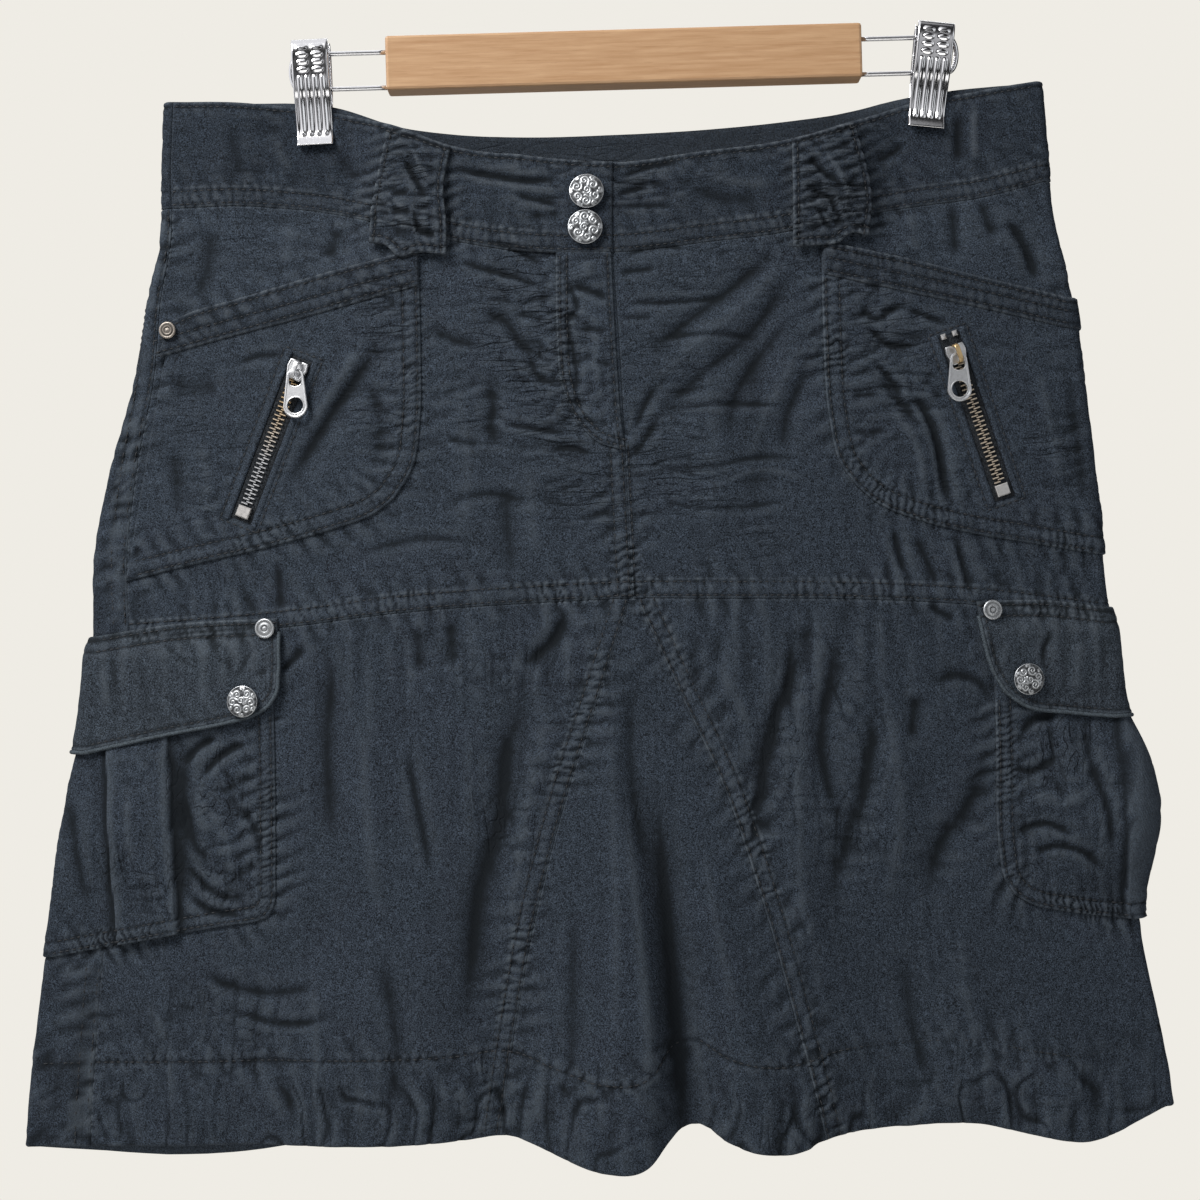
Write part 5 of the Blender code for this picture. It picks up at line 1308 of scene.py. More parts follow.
def metal(name, bright, dull, roughness, brass=None):
    """A metal that is dull in its recesses, uneven in its gloss and, where stated, brassy in places."""
    finish, tree, shader = new_finish(name)
    where = object_space(tree)
    patches = noise(tree, where, 700.0, 3.0, 0.65)
    shown = maths(tree, "MULTIPLY_ADD", patches, 0.5, -0.18)
    recess = maths(tree, "ADD", field(tree, "deep"), shown, clamp=True)
    base = (*bright, 1)
    if brass:
        base = blend_colours(tree, field(tree, "brass"), base, (*brass, 1))
    colour = blend_colours(tree, recess, base, (*dull, 1))
    rough = maths(tree, "MULTIPLY_ADD", maths(tree, "ADD", patches, recess), 0.22, roughness)
    bump = node(tree, "ShaderNodeBump", {"Strength": 0.25, "Distance": 0.05 * MM, "Height": patches})
    feed(tree, shader, {"Base Color": colour, "Roughness": rough, "Metallic": 1.0,
                        "Normal": bump.outputs[0]})
    return finish


def chrome():
    """Bright plated steel with faint rolling marks."""
    finish, tree, shader = new_finish("clip_chrome")
    where = object_space(tree)
    along = node(tree, "ShaderNodeMapping", {"Vector": where, "Scale": (1.0, 1.0, 0.12)}).outputs[0]
    marks = noise(tree, along, 1400.0, 2.0)
    colour = blend_colours(tree, marks, (0.70, 0.70, 0.72, 1), (0.86, 0.86, 0.88, 1))
    rough = maths(tree, "MULTIPLY_ADD", marks, 0.10, 0.08)
    feed(tree, shader, {"Base Color": colour, "Roughness": rough, "Metallic": 1.0})
    return finish


def wood():
    """Lacquered pale maple with the grain along the bar."""
    finish, tree, shader = new_finish("bar_maple")
    where = object_space(tree)
    long_grain = node(tree, "ShaderNodeMapping", {"Vector": where, "Scale": (0.05, 1.0, 1.0)}).outputs[0]
    streaks = noise(tree, long_grain, 700.0, 4.0, 0.66)
    pores = noise(tree, long_grain, 1500.0, 2.0, 0.6)
    broad = noise(tree, long_grain, 90.0, 2.0)
    ramp_node = node(tree, "ShaderNodeValToRGB", {"Fac": streaks})
    stops = ramp_node.color_ramp.elements
    stops[0].position, stops[0].color = 0.30, (0.370, 0.205, 0.100, 1)
    stops[1].position, stops[1].color = 0.72, (0.520, 0.330, 0.185, 1)
    toned = blend_colours(tree, maths(tree, "MULTIPLY", broad, 0.35), ramp_node.outputs[0],
                          (0.46, 0.27, 0.14, 1))
    fleck = maths(tree, "MULTIPLY", maths(tree, "GREATER_THAN", pores, 0.64), 0.28)
    colour = blend_colours(tree, fleck, toned, (0.30, 0.16, 0.075, 1))
    rough = maths(tree, "MULTIPLY_ADD", streaks, 0.2, 0.36)
    bump = node(tree, "ShaderNodeBump", {"Strength": 0.3, "Distance": 0.08 * MM, "Height": streaks})
    feed(tree, shader, {"Base Color": colour, "Roughness": rough, "Normal": bump.outputs[0]})
    return finish


SHARP_ANGLE = math.radians(32)
FINISHES = {name: cotton(name) for name in COTTONS}
FINISHES["thread"] = thread()
FINISHES["pewter"] = metal("button_pewter", (0.47, 0.49, 0.51), (0.040, 0.042, 0.046), 0.30)
FINISHES["bronze"] = metal("rivet_bronze", (0.30, 0.27, 0.24), (0.06, 0.055, 0.05), 0.34)
FINISHES["zip_metal"] = metal("zip_nickel", (0.62, 0.63, 0.65), (0.16, 0.16, 0.16), 0.28,
                              (0.64, 0.46, 0.24))
FINISHES["chrome"] = chrome()
FINISHES["wood"] = wood()


def add_piece(name, mesh, finish, node_name=None, body="root", matrix=None, crisp=False):
    """An object with its finish, riding on a body and standing for a solid."""
    piece = bpy.data.objects.new(name, mesh)
    bpy.context.scene.collection.objects.link(piece)
    if matrix:
        piece.matrix_world = matrix
    if crisp:
        mesh.set_sharp_from_angle(angle=SHARP_ANGLE)
    mesh.materials.clear()
    mesh.materials.append(FINISHES[finish])
    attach(piece, body)
    if node_name:
        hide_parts(node_name)
    return piece


# ---- Cloth pieces -----------------------------------------------------------------------------


def sew(node_name, grid, lift, finish, wall=WALL, seated=0.0):
    """A cut piece as its shell, in place of its part."""
    piece = add_piece(f"{node_name}_cloth", cloth_shell(f"{node_name}_cloth", grid, lift, wall, seated),
                      finish, node_name)
    return piece


def joined(first, second):
    """Two grids that meet at the centre back, as one."""
    return Grid(*(np.concatenate([a, b[:, 1:]], axis=1) for a, b in zip(first, second)))


def overlap_lift(across, drop):
    """The buttoned end of the waistband rides up over the other end."""
    return FIRST_PLY * ramp(across, *OVERLAP_RISE)


JOINT_ROLL = 0.001
SEAMED = (SEAM_ROLL, SEAM_ROLL, SEAM_ROLL, SEAM_ROLL)
BAND_ROLLS = (FREE_ROLL, SEAM_ROLL, SEAM_ROLL, SEAM_ROLL)
HEMMED = (SEAM_ROLL, SEAM_ROLL, FREE_ROLL, SEAM_ROLL)
UNDERLAP = CENTRE_LEFT - 1 / 6


def make_waistband():
    rows = (WAIST_EDGE, WAIST_SEAM)
    open_end = (FREE_ROLL, FREE_ROLL, SEAM_ROLL, SEAM_ROLL)
    left = panel_grid((SIDE_LEFT, CENTRE_LEFT), rows, CELL, open_end)
    sew("waistband_front_left", left, overlap_lift, "band_cotton")
    right = panel_grid((UNDERLAP, SIDE_RIGHT), rows, CELL, BAND_ROLLS)
    sew("waistband_front_right", right, 0, "band_cotton")
    to_centre = panel_grid((SIDE_RIGHT, CENTRE_BACK_END), rows, CELL,
                           (FREE_ROLL, JOINT_ROLL, SEAM_ROLL, SEAM_ROLL))
    from_centre = panel_grid((CENTRE_BACK_START, SIDE_LEFT), rows, CELL,
                             (FREE_ROLL, SEAM_ROLL, SEAM_ROLL, JOINT_ROLL), len(to_centre.across))
    sew_round_back("waistband_back", to_centre, from_centre, 0, "band_cotton")


def sew_round_back(node_name, first, second, lift, finish, wall=WALL):
    """A piece that crosses the centre back, whose two halves are measured from either side."""
    grid = joined(first, second)
    piece = add_piece(f"{node_name}_cloth", cloth_shell(f"{node_name}_cloth", grid, lift, wall), finish,
                      node_name)


def make_body():
    upper, lower, full = (WAIST_SEAM, YOKE_SEAM), (YOKE_SEAM, HEM_EDGE), (WAIST_SEAM, HEM_EDGE)
    left, right = (SIDE_LEFT, CENTRE_LEFT), (CENTRE_RIGHT, SIDE_RIGHT)
    for name, columns, rows, cell, rolls in (
            ("front_hip_left", left, upper, CELL, SEAMED),
            ("front_hip_right", right, upper, CELL, SEAMED),
            ("front_lower_left", left, lower, CELL, HEMMED),
            ("front_lower_right", right, lower, CELL, HEMMED),
            ("godet", (CENTRE_LEFT, CENTRE_RIGHT), lower, CELL, HEMMED),
            ("back_left", (CENTRE_BACK_START, SIDE_LEFT), full, BACK_CELL, HEMMED),
            ("back_right", (SIDE_RIGHT, CENTRE_BACK_END), full, BACK_CELL, HEMMED)):
        sew(name, panel_grid(columns, rows, cell, rolls), 0, "skirt_cotton")


def make_fly():
    sew("fly", patch_grid(FLY, CELL), FIRST_PLY, "skirt_cotton", seated=SEATING)


def box_place(across, drop, middle, lean):
    """Places in a leaning box's own measures: right of its middle, and up."""
    turn = math.radians(lean)
    x, y = across - middle[0], -(drop - middle[1])
    return x * math.cos(turn) - y * math.sin(turn), x * math.sin(turn) + y * math.cos(turn)


SLOT_DEPTH = 0.95
SLOT_EDGE = 0.7


def pocket_lift(side):
    """A hip pocket's height, which dips under its zip."""
    def lift(across, drop):
        u, v = box_place(across, drop, *ZIPS[side])
        inside = 1 - ramp(np.abs(u) - ZIP_SLOT[0] / 2, -SLOT_EDGE, SLOT_EDGE)
        inside = inside * (1 - ramp(np.abs(v) - ZIP_SLOT[1] / 2, -SLOT_EDGE, SLOT_EDGE))
        return FIRST_PLY - SLOT_DEPTH * inside
    return lift


def four_edges(corners):
    """A straight-edged spec from its corners: upper left, upper right, lower right, lower left."""
    a, b, c, d = corners
    return {"top": [a, b], "right": [b, c], "bottom": [d, c], "left": [a, d]}


BAND_WALL = 0.9
WELT = (1.6, 0.75)      # half the width and the height of the folded edge beside a zip
WELT_OUT = 0.9


def make_hip_pocket(side):
    spec = HIP_POCKETS[side]
    sew(f"hip_pocket_{side}", patch_grid(spec, CELL), pocket_lift(side), "skirt_cotton", seated=SEATING)
    band = dict(spec["band"])
    band["left"] = [band["top"][0], band["bottom"][0]]
    band["right"] = [band["top"][-1], band["bottom"][-1]]
    sew(f"pocket_band_{side}", patch_grid(band, CELL), SECOND_PLY, "band_cotton", BAND_WALL, SEATING)
    tape = box_corners(*ZIPS[side], ZIP_SLOT[0] - 0.8, ZIP_SLOT[1] - 0.8)
    sew(f"zip_tape_{side}", patch_grid(four_edges(tape), FINE_CELL), FIRST_PLY, "zip_tape_cotton",
        ZIP_TAPE_WALL, 0.2)
    corners = box_corners(*ZIPS[side], ZIP_SLOT[0] + 2 * WELT_OUT, ZIP_SLOT[1] + 2)
    for edge, ends in (("left", (0, 3)), ("right", (1, 2))):
        path = flowing([corners[i] for i in ends], 1.5)
        mesh = cord_mesh(f"zip_welt_{side}_{edge}", path, FIRST_PLY + WALL - 0.25, *WELT, crest_rubbing_and_highlight=0.15)
        add_piece(f"zip_welt_{side}_{edge}", mesh, "skirt_cotton")


def cord_mesh(name, path, lift, half_width, height, sides=10, crest_rubbing_and_highlight=0.7):
    """A rounded strip laid along a path on the cloth, with its fields: pale rubbing and painted highlight
    along its top, painted shade from the folds under it.
    """
    across, drop = path[:, 0], path[:, 1]
    relief, _, deep, _ = cloth_relief(across, drop)
    out = outward(across, drop)
    base = surface(across, drop) + out * (raised(lift, across, drop) + relief)[:, None]
    along = np.gradient(base, axis=0)
    along /= np.linalg.norm(along, axis=1, keepdims=True)
    side = np.cross(along, out)
    side /= np.linalg.norm(side, axis=1, keepdims=True)
    angle = np.arange(sides) * 2 * math.pi / sides
    ring = side[:, None] * (half_width * np.cos(angle))[:, None] + out[:, None] * (
        height * np.sin(angle))[:, None]
    ends = base[[0, -1]] - along[[0, -1]] * np.array([[0.5], [-0.5]]) * height
    points = np.concatenate([(base[:, None] + ring).reshape(-1, 3), ends])
    # Painted highlight, with pale rubbing, along the cord's top; painted shade where it lies over the cloth's
    # folds.
    crest = np.tile(np.clip(np.sin(angle), 0, 1) ** 3, len(path))
    worn = np.concatenate([crest * crest_rubbing_and_highlight, (0, 0)])
    dark = np.concatenate([np.repeat(np.clip(deep, 0, 1), sides), (0, 0)])
    return mesh_of(name, points, tube_faces(len(path), sides), {"worn": worn, "deep": dark})


def cargo_lift(side):
    """The pouch's height off the skirt: sewn down at the sides and bottom, with a raised pleat."""
    spec = CARGO[side]
    (top_x, top_drop), (low_x, low_drop), half = spec["pleat"]
    low, high = min(spec["edges"]), max(spec["edges"])

    def lift(across, drop, pleated=1.0):
        share = np.clip((across - low) / (high - low), 0, 1)
        depth = np.clip((drop - PUFF_DROPS[0]) / (PUFF_DROPS[1] - PUFF_DROPS[0]), 0, 1)
        puff = spec["puff"] * np.sin(math.pi * share) ** 1.5 * np.sin(math.pi * depth) ** PUFF_POWER
        middle = top_x + (low_x - top_x) * (drop - top_drop) / (low_drop - top_drop)
        pleat = PLEAT_RISE * (1 - ramp(np.abs(across - middle), half - PLEAT_STEP, half + 0.01))
        shown = PLEAT_TOP + (1 - PLEAT_TOP) * ramp(drop, *spec["pleat_shows"])
        return FIRST_PLY + puff + pleat * shown * pleated

    return lift


def flap_lift(side):
    """The flap lies on the skirt at its seam, and over the pocket's pouch below."""
    pouch = cargo_lift(side)

    def lift(across, drop):
        over = ramp(drop, *FLAP_RISE)
        return FIRST_PLY + (pouch(across, drop, 0.0) - FIRST_PLY + FLAP_CLEAR) * over

    return lift


def make_cargo_pocket(side):
    spec = CARGO[side]
    pouch = patch_grid(spec["pouch"], CELL)
    sew(f"cargo_pocket_{side}", pouch, cargo_lift(side), "skirt_cotton", seated=SEATING)
    flap = patch_grid(spec["flap"], CELL)
    sew(f"flap_{side}", flap, flap_lift(side), "flap_cotton", seated=SEATING)
    make_piping(side)


PIPING_OUT = 0.5        # of the cord's middle from the flap's edge
PIPING_STEP = 1.6


def make_piping(side):
    """A covered cord along the flap's front edge, corner and lower edge."""
    path = open_outline(CARGO[side]["flap"], INNER_EDGE[side], 0.16, 4, PIPING_STEP)
    path = path - sideways(path) * PIPING_OUT * INWARD[side]
    flap, name = flap_lift(side), f"flap_piping_{side}"
    mesh = cord_mesh(f"{name}_cord", path, lambda a, d: flap(a, d) + PIPING_RISE,
                     PIPING_RADIUS, PIPING_RADIUS)
    add_piece(f"{name}_cord", mesh, "piping_cotton", name)


def bowed(end_lift):
    """A belt loop's height: down at the waist's edge, off the band in the middle, down at its end."""
    def lift(across, drop):
        landing = (end_lift - FIRST_PLY) * ramp(drop, *LOOP_LANDING)
        bow = LOOP_BOW["rise"] * np.exp(-((drop - LOOP_BOW["drop"]) / LOOP_BOW["spread"]) ** 2)
        return FIRST_PLY + landing + bow
    return lift


def make_belt_loops():
    for name, spec in BELT_LOOPS.items():
        sew(f"belt_loop_{name}", patch_grid(spec, FINE_CELL), bowed(LOOP_END_LIFT), "band_cotton",
            seated=SEATING)
    (middle,), (top,) = place(np.array([0.0]), np.array([float(WAIST_EDGE)]))
    low = float(place(np.array([0.0]), np.array([0.11]))[1][0])
    corners = [(middle - BACK_LOOP_HALF, top), (middle + BACK_LOOP_HALF, top),
               (middle + BACK_LOOP_HALF, low), (middle - BACK_LOOP_HALF, low)]
    sew("belt_loop_back", patch_grid(four_edges(corners), CELL), bowed(FIRST_PLY), "band_cotton",
        seated=SEATING)


# ---- Stitching --------------------------------------------------------------------------------

STITCH_PITCH = 3.1
STITCH_LENGTH = 2.5
THREAD = 0.32           # radius
THREAD_SUNK = 0.02
STITCH_TURN = 0.97      # cosine of the turn of the cloth along a stitch, past which it is left out


def outer_heights():
    """Height of the outer face of what each seam is sewn on."""
    heights = {"band": lambda a, d: WALL + overlap_lift(a, d) * (a < -7) * (a > -100),
               "body": lambda a, d: np.full(np.shape(a), WALL),
               "fly": lambda a, d: np.full(np.shape(a), FIRST_PLY + WALL),
               "pocket": lambda a, d: np.full(np.shape(a), FIRST_PLY + WALL),
               "band_on_pocket": lambda a, d: np.full(np.shape(a), SECOND_PLY + BAND_WALL)}
    for side in SIDES:
        heights[f"pouch_{side}"] = lambda a, d, side=side: cargo_lift(side)(a, d) + WALL
        heights[f"flap_{side}"] = lambda a, d, side=side: flap_lift(side)(a, d) + WALL
    for name in BELT_LOOPS:
        heights[f"loop_{name}"] = lambda a, d: bowed(LOOP_END_LIFT)(a, d) + WALL
    return heights


def stitch_form():
    """One stitch as points along, beside and above its row, and its faces."""
    sides = 4
    angle = np.arange(sides) * 2 * math.pi / sides
    rings = [(-0.40, 0.8, -0.10), (0.0, 1.05, 0.12), (0.40, 0.8, -0.10)]
    points = [(-0.5, 0, -0.30)]
    for along, wide, rise in rings:
        points += [(along, wide * THREAD * math.cos(a), wide * THREAD * math.sin(a) + rise) for a in angle]
    points.append((0.5, 0, -0.30))
    faces = []
    for ring in range(len(rings) - 1):
        for i in range(sides):
            a, b = 1 + ring * sides + i, 1 + ring * sides + (i + 1) % sides
            faces += [(a, b + sides, a + sides), (a, b, b + sides)]
    last = len(points) - 1
    for i in range(sides):
        a, b = 1 + i, 1 + (i + 1) % sides
        faces += [(0, b, a), (last, a + (len(rings) - 1) * sides, b + (len(rings) - 1) * sides)]
    return np.array(points), np.array(faces)


def make_stitching():
    """Every row of stitches, joined into one piece for each group of seams."""
    form, faces = stitch_form()
    heights = outer_heights()
    made = {}
    for seam in SEAMS:
        for row in seam.rows:
            path = seam.path + sideways(seam.path) * row
            count = int(length_of(path) / STITCH_PITCH)
            half = STITCH_LENGTH / 2 / length_of(path)
            middle = (np.arange(count) + 0.5) / count
            ends = [walk(path, np.clip(middle + sign * half, 0, 1)) for sign in (-1, 1)]
            across, drop = walk(path, middle).T
            relief = cloth_relief(across, drop)[0]
            out = outward(across, drop)
            height = heights[seam.on](across, drop) + relief - THREAD_SUNK
            flat = (outward(*ends[0].T) * outward(*ends[1].T)).sum(-1) > STITCH_TURN
            across, drop, out, height = across[flat], drop[flat], out[flat], height[flat]
            ends = [end[flat] for end in ends]
            centre = surface(across, drop) + out * height[:, None]
            tips = [surface(*end.T) + outward(*end.T) * height[:, None] for end in ends]
            along = tips[1] - tips[0]
            side = np.cross(out, along)
            side /= np.linalg.norm(side, axis=1, keepdims=True)
            points = centre[:, None] + along[:, None] * form[:, :1] + side[:, None] * form[:, 1:2]
            points = points + out[:, None] * form[:, 2:3]
            made.setdefault(seam.holder, []).append(points.reshape(-1, 3))
    for holder, groups in made.items():
        points = np.concatenate(groups)
        starts = np.arange(len(points) // len(form)) * len(form)
        every = (faces[None] + starts[:, None, None]).reshape(-1, 3)
        mesh = mesh_of(f"stitching_{holder}", points, [every])
        add_piece(f"stitching_{holder}", mesh, "thread")


# ---- Hard pieces ------------------------------------------------------------------------------

PLY_GAP = 0.3


def frame_at(across, drop, height, lean=0):
    """The place and turn of something on the cloth: local Z points out, Y up and X across."""
    point = (surface(across, drop) + outward(across, drop) * height) * MM
    out = Vector(outward(across, drop))
    side = Vector((0, 0, 1)).cross(out).normalized()
    rise = out.cross(side)
    turn = math.radians(lean)
    right = side * math.cos(turn) - rise * math.sin(turn)
    up = out.cross(right)
    return Matrix.Translation(Vector(point)) @ Matrix((right, up, out)).transposed().to_4x4()


def merged(parts):
    """Several (points, faces) as one."""
    points, faces, start = [], [], 0
    for some_points, some_faces in parts:
        points.append(some_points)
        faces += [np.asarray(group) + start for group in some_faces]
        start += len(some_points)
    return np.concatenate(points), faces


def turned_form(profile, steps):
    """A profile of (radius, height) from the axis at the top round to the axis again, turned about Z."""
    profile = np.array(profile, float)
    angle = np.arange(steps) * 2 * math.pi / steps
    ring = np.stack([np.cos(angle), np.sin(angle)], axis=-1)
    rounds = profile[1:-1]
    heights = np.broadcast_to(rounds[:, None, 1:], (len(rounds), steps, 1))
    points = np.concatenate([rounds[:, None, :1] * ring, heights], axis=-1)
    ends = np.array([(0, 0, profile[0, 1]), (0, 0, profile[-1, 1])])
    return np.concatenate([points.reshape(-1, 3), ends]), tube_faces(len(rounds), steps)


# Scrolls on a button's face, in shares of its radius: middle, size, turns, start in degrees, and hand.
SCROLLS = (
    ((0.05, 0.03), 0.25, 1.4, 200, 1), ((0.50, 0.14), 0.30, 1.5, 160, -1),
    ((0.17, 0.58), 0.27, 1.4, 300, 1), ((-0.38, 0.45), 0.30, 1.5, 20, -1),
    ((-0.60, -0.10), 0.26, 1.4, 250, 1), ((-0.27, -0.52), 0.30, 1.5, 80, -1),
    ((0.33, -0.48), 0.28, 1.4, 120, 1), ((0.74, -0.28), 0.17, 1.0, 200, 1),
    ((0.64, 0.56), 0.17, 1.0, 20, -1), ((-0.10, 0.85), 0.12, 0.9, 90, 1),
    ((-0.78, 0.32), 0.14, 0.9, 40, 1), ((-0.68, -0.50), 0.15, 0.9, 300, -1),
    ((0.04, -0.85), 0.13, 0.9, 10, 1),
)
SCROLL_WIDTH = 0.060    # half, in shares of the button's radius
SCROLL_RISE = 0.42
DISH = 0.95             # share of the radius that carries scrolls
BUTTON_STEPS, FACE_RINGS = 96, 30


def scroll_paths():
    paths = []
    for middle, size, turns, start, hand in SCROLLS:
        t = np.linspace(0, 1, 40)
        angle = math.radians(start) + hand * turns * 2 * math.pi * t
        reach = size * (1 - 0.86 * t)
        paths.append(np.array(middle) + np.stack([np.cos(angle), np.sin(angle)], axis=-1) * reach[:, None])
    return paths


def make_button(name, radius, matrix):
    """A domed face covered with scrolls in relief, a rounded edge and a narrow shank."""
    inside = [(radius * DISH * share, 2.35 + 0.50 * (1 - share ** 2))
              for share in (i / FACE_RINGS for i in range(1, FACE_RINGS + 1))]
    rim = [(radius - 0.22, 2.36), (radius - 0.06, 2.24), (radius, 2.05), (radius - 0.1, 1.85),
           (radius - 0.4, 1.65), (radius * 0.7, 1.5), (radius * 0.45, 1.3), (radius * 0.4, 0)]
    profile = [(0, 2.85)] + inside + rim + [(0, 0)]
    points, faces = turned_form(profile, BUTTON_STEPS)
    face = points[:FACE_RINGS * BUTTON_STEPS]
    flat = face[:, :2] / radius
    ridge = np.zeros(len(face))
    for path in scroll_paths():
        chosen, distance, run = near(flat, path, SCROLL_WIDTH * 2.2)
        thick = SCROLL_WIDTH * (1.15 - 0.4 * run / run.max())
        ridge[chosen] = np.maximum(ridge[chosen], np.exp(-np.abs(distance / thick) ** 3))
    grit = 0.25 * patchy(flat, (0.05, 0.05), 11) + 0.25 * patchy(flat, (0.11, 0.11), 12)
    level = np.clip(1 - np.hypot(*flat.T) / DISH, 0, 0.12) / 0.12
    face[:, 2] += SCROLL_RISE * (ridge + 0.18 * grit) * level
    deep = np.zeros(len(points))
    deep[:len(face)] = np.clip(0.85 - ridge + 0.3 * grit, 0, 1)
    mesh = mesh_of(f"{name}_face", points, faces, {"deep": deep})
    add_piece(f"{name}_face", mesh, "pewter", name, matrix=matrix)


def make_rivet(name, radius, matrix, finish="pewter"):
    """A small domed ring rivet with a dimple."""
    profile = [(0, 1.02), (0.5, 1.0), (0.9, 0.86), (1.3, 0.8), (1.6, 0.98), (1.9, 1.08), (2.2, 0.98),
               (2.5, 0.82), (radius - 1.2, 0.8), (radius - 0.9, 0.94), (radius - 0.5, 0.98),
               (radius - 0.15, 0.75), (radius, 0.42), (radius - 0.1, 0.1), (radius - 0.3, 0), (0, 0)]
    points, faces = turned_form(profile, 48)
    reach = np.hypot(points[:, 0], points[:, 1])
    low = np.exp(-((reach - 1.25) / 0.3) ** 2) + np.exp(-((reach - (radius - 1.5)) / 0.45) ** 2)
    mesh = mesh_of(f"{name}_head", points, faces, {"deep": np.clip(low, 0, 1)})
    add_piece(f"{name}_head", mesh, finish, name, matrix=matrix)


def flap_top(side, across, drop):
    """The height of a flap's outer face at a place, with a button's gap on it."""
    return float(flap_lift(side)(np.array(across), np.array(drop))) + WALL + BUTTON_GAP


def make_fastenings():
    for name, at in WAIST_BUTTONS.items():
        turn = Matrix.Rotation(math.radians(25 if name == "upper" else 205), 4, "Z")
        make_button(f"waist_button_{name}", WAIST_BUTTON_RADIUS,
                    frame_at(*at, FIRST_PLY + WALL + BUTTON_GAP) @ turn)
    for side in SIDES:
        across, drop = FLAP_BUTTONS[side]
        turn = Matrix.Rotation(math.radians(110 if side == "left" else -60), 4, "Z")
        make_button(f"flap_button_{side}", FLAP_BUTTON_RADIUS,
                    frame_at(across, drop, flap_top(side, across, drop)) @ turn)
        across, drop = FLAP_RIVETS[side]
        make_rivet(f"flap_rivet_{side}", RIVET_RADIUS,
                   frame_at(across, drop, flap_top(side, across, drop + RIVET_RADIUS) + PLY_GAP))
        make_rivet(f"hip_rivet_{side}", HIP_RIVET_RADIUS,
                   frame_at(*HIP_RIVETS[side], SECOND_PLY + BAND_WALL + 2 * BUTTON_GAP), "bronze")


def swept(path, out, half_width, height, sides=12, closed=False, square=1.0):
    """A strip or tube along a path, with its wide side across out: points and faces. A square below 1
    gives it flatter sides."""
    if closed:
        along = np.roll(path, -1, axis=0) - np.roll(path, 1, axis=0)
    else:
        along = np.gradient(path, axis=0)
    along = along / np.linalg.norm(along, axis=1, keepdims=True)
    side = np.cross(along, out)
    side /= np.linalg.norm(side, axis=1, keepdims=True)
    up = np.cross(side, along)
    angle = (np.arange(sides) + 0.5) * 2 * math.pi / sides
    c, s = np.cos(angle), np.sin(angle)
    c, s = np.sign(c) * np.abs(c) ** square, np.sign(s) * np.abs(s) ** square
    points = path[:, None] + side[:, None] * (half_width * c)[:, None] + up[:, None] * (height * s)[:, None]
    if closed:
        index = np.arange(len(path) * sides).reshape(len(path), sides)
        return points.reshape(-1, 3), [quads(np.pad(index, ((0, 1), (0, 1)), "wrap"))]
    return np.concatenate([points.reshape(-1, 3), path[[0, -1]]]), tube_faces(len(path), sides)


def slab(rings, low, high, bevel):
    """A flat plate with holes between two heights, with bevelled edges. The first ring is the outside."""
    curve = bpy.data.curves.new("slab", "CURVE")
    curve.dimensions = "2D"
    curve.fill_mode = "BOTH"
    curve.extrude = (high - low) / 2 * MM - bevel * MM
    curve.bevel_depth = bevel * MM
    curve.bevel_resolution = 2
    curve.offset = -bevel * MM
    for ring in rings:
        spline = curve.splines.new("POLY")
        spline.points.add(len(ring) - 1)
        spline.use_cyclic_u = True
        for point, (x, y) in zip(spline.points, ring):
            point.co = (x * MM, y * MM, 0, 1)
    source = bpy.data.objects.new("slab", curve)
    bpy.context.scene.collection.objects.link(source)
    bpy.context.view_layer.update()
    mesh = bpy.data.meshes.new_from_object(source.evaluated_get(bpy.context.evaluated_depsgraph_get()))
    bpy.data.objects.remove(source)
    bpy.data.curves.remove(curve)
    mesh.calc_loop_triangles()
    points = np.empty(len(mesh.vertices) * 3)
    mesh.vertices.foreach_get("co", points)
    faces = np.empty(len(mesh.loop_triangles) * 3, np.int32)
    mesh.loop_triangles.foreach_get("vertices", faces)
    bpy.data.meshes.remove(mesh)
    points = points.reshape(-1, 3) / MM + (0, 0, (low + high) / 2)
    return points, [faces.reshape(-1, 3)]


def ring_3d(ring, height=0.0):
    return np.array([(x, y, height) for x, y in ring], float)


def arc(middle, radius, start, end, steps):
    """Points along an arc, or an ellipse for two radii, from one angle to another in degrees."""
    wide, high = radius if isinstance(radius, tuple) else (radius, radius)
    angles = np.radians(np.linspace(start, end, steps))
    return [(middle[0] + wide * math.cos(a), middle[1] + high * math.sin(a)) for a in angles]


def pull_rings():
    """The pull in its own plane: the outside, the eye round the bridge, and the round hole."""
    at, hole, end, eye, shoulder = PULL.values()
    outside = arc((0, -3.1), (shoulder, 3.75), 0, 180, 25) + arc((0, at), end, 184, 356, 33)
    inside = arc((0, -2.6), (eye, 2.0), 0, 180, 17) + arc((0, -5.6), (eye, 1.7), 180, 360, 17)
    return outside, inside, arc((0, at), hole, 0, 352.5, 48)


def inset(ring, distance):
    """A ring moved inwards, for one that runs against the clock's hands."""
    points = np.array(ring)
    along = np.roll(points, -1, axis=0) - np.roll(points, 1, axis=0)
    along /= np.linalg.norm(along, axis=1, keepdims=True)
    return [tuple(p) for p in points + np.stack([-along[:, 1], along[:, 0]], axis=-1) * distance]


PULL_WEB = 0.62         # thickness between the rims, as a share of theirs
WEB_DARK = 0.18


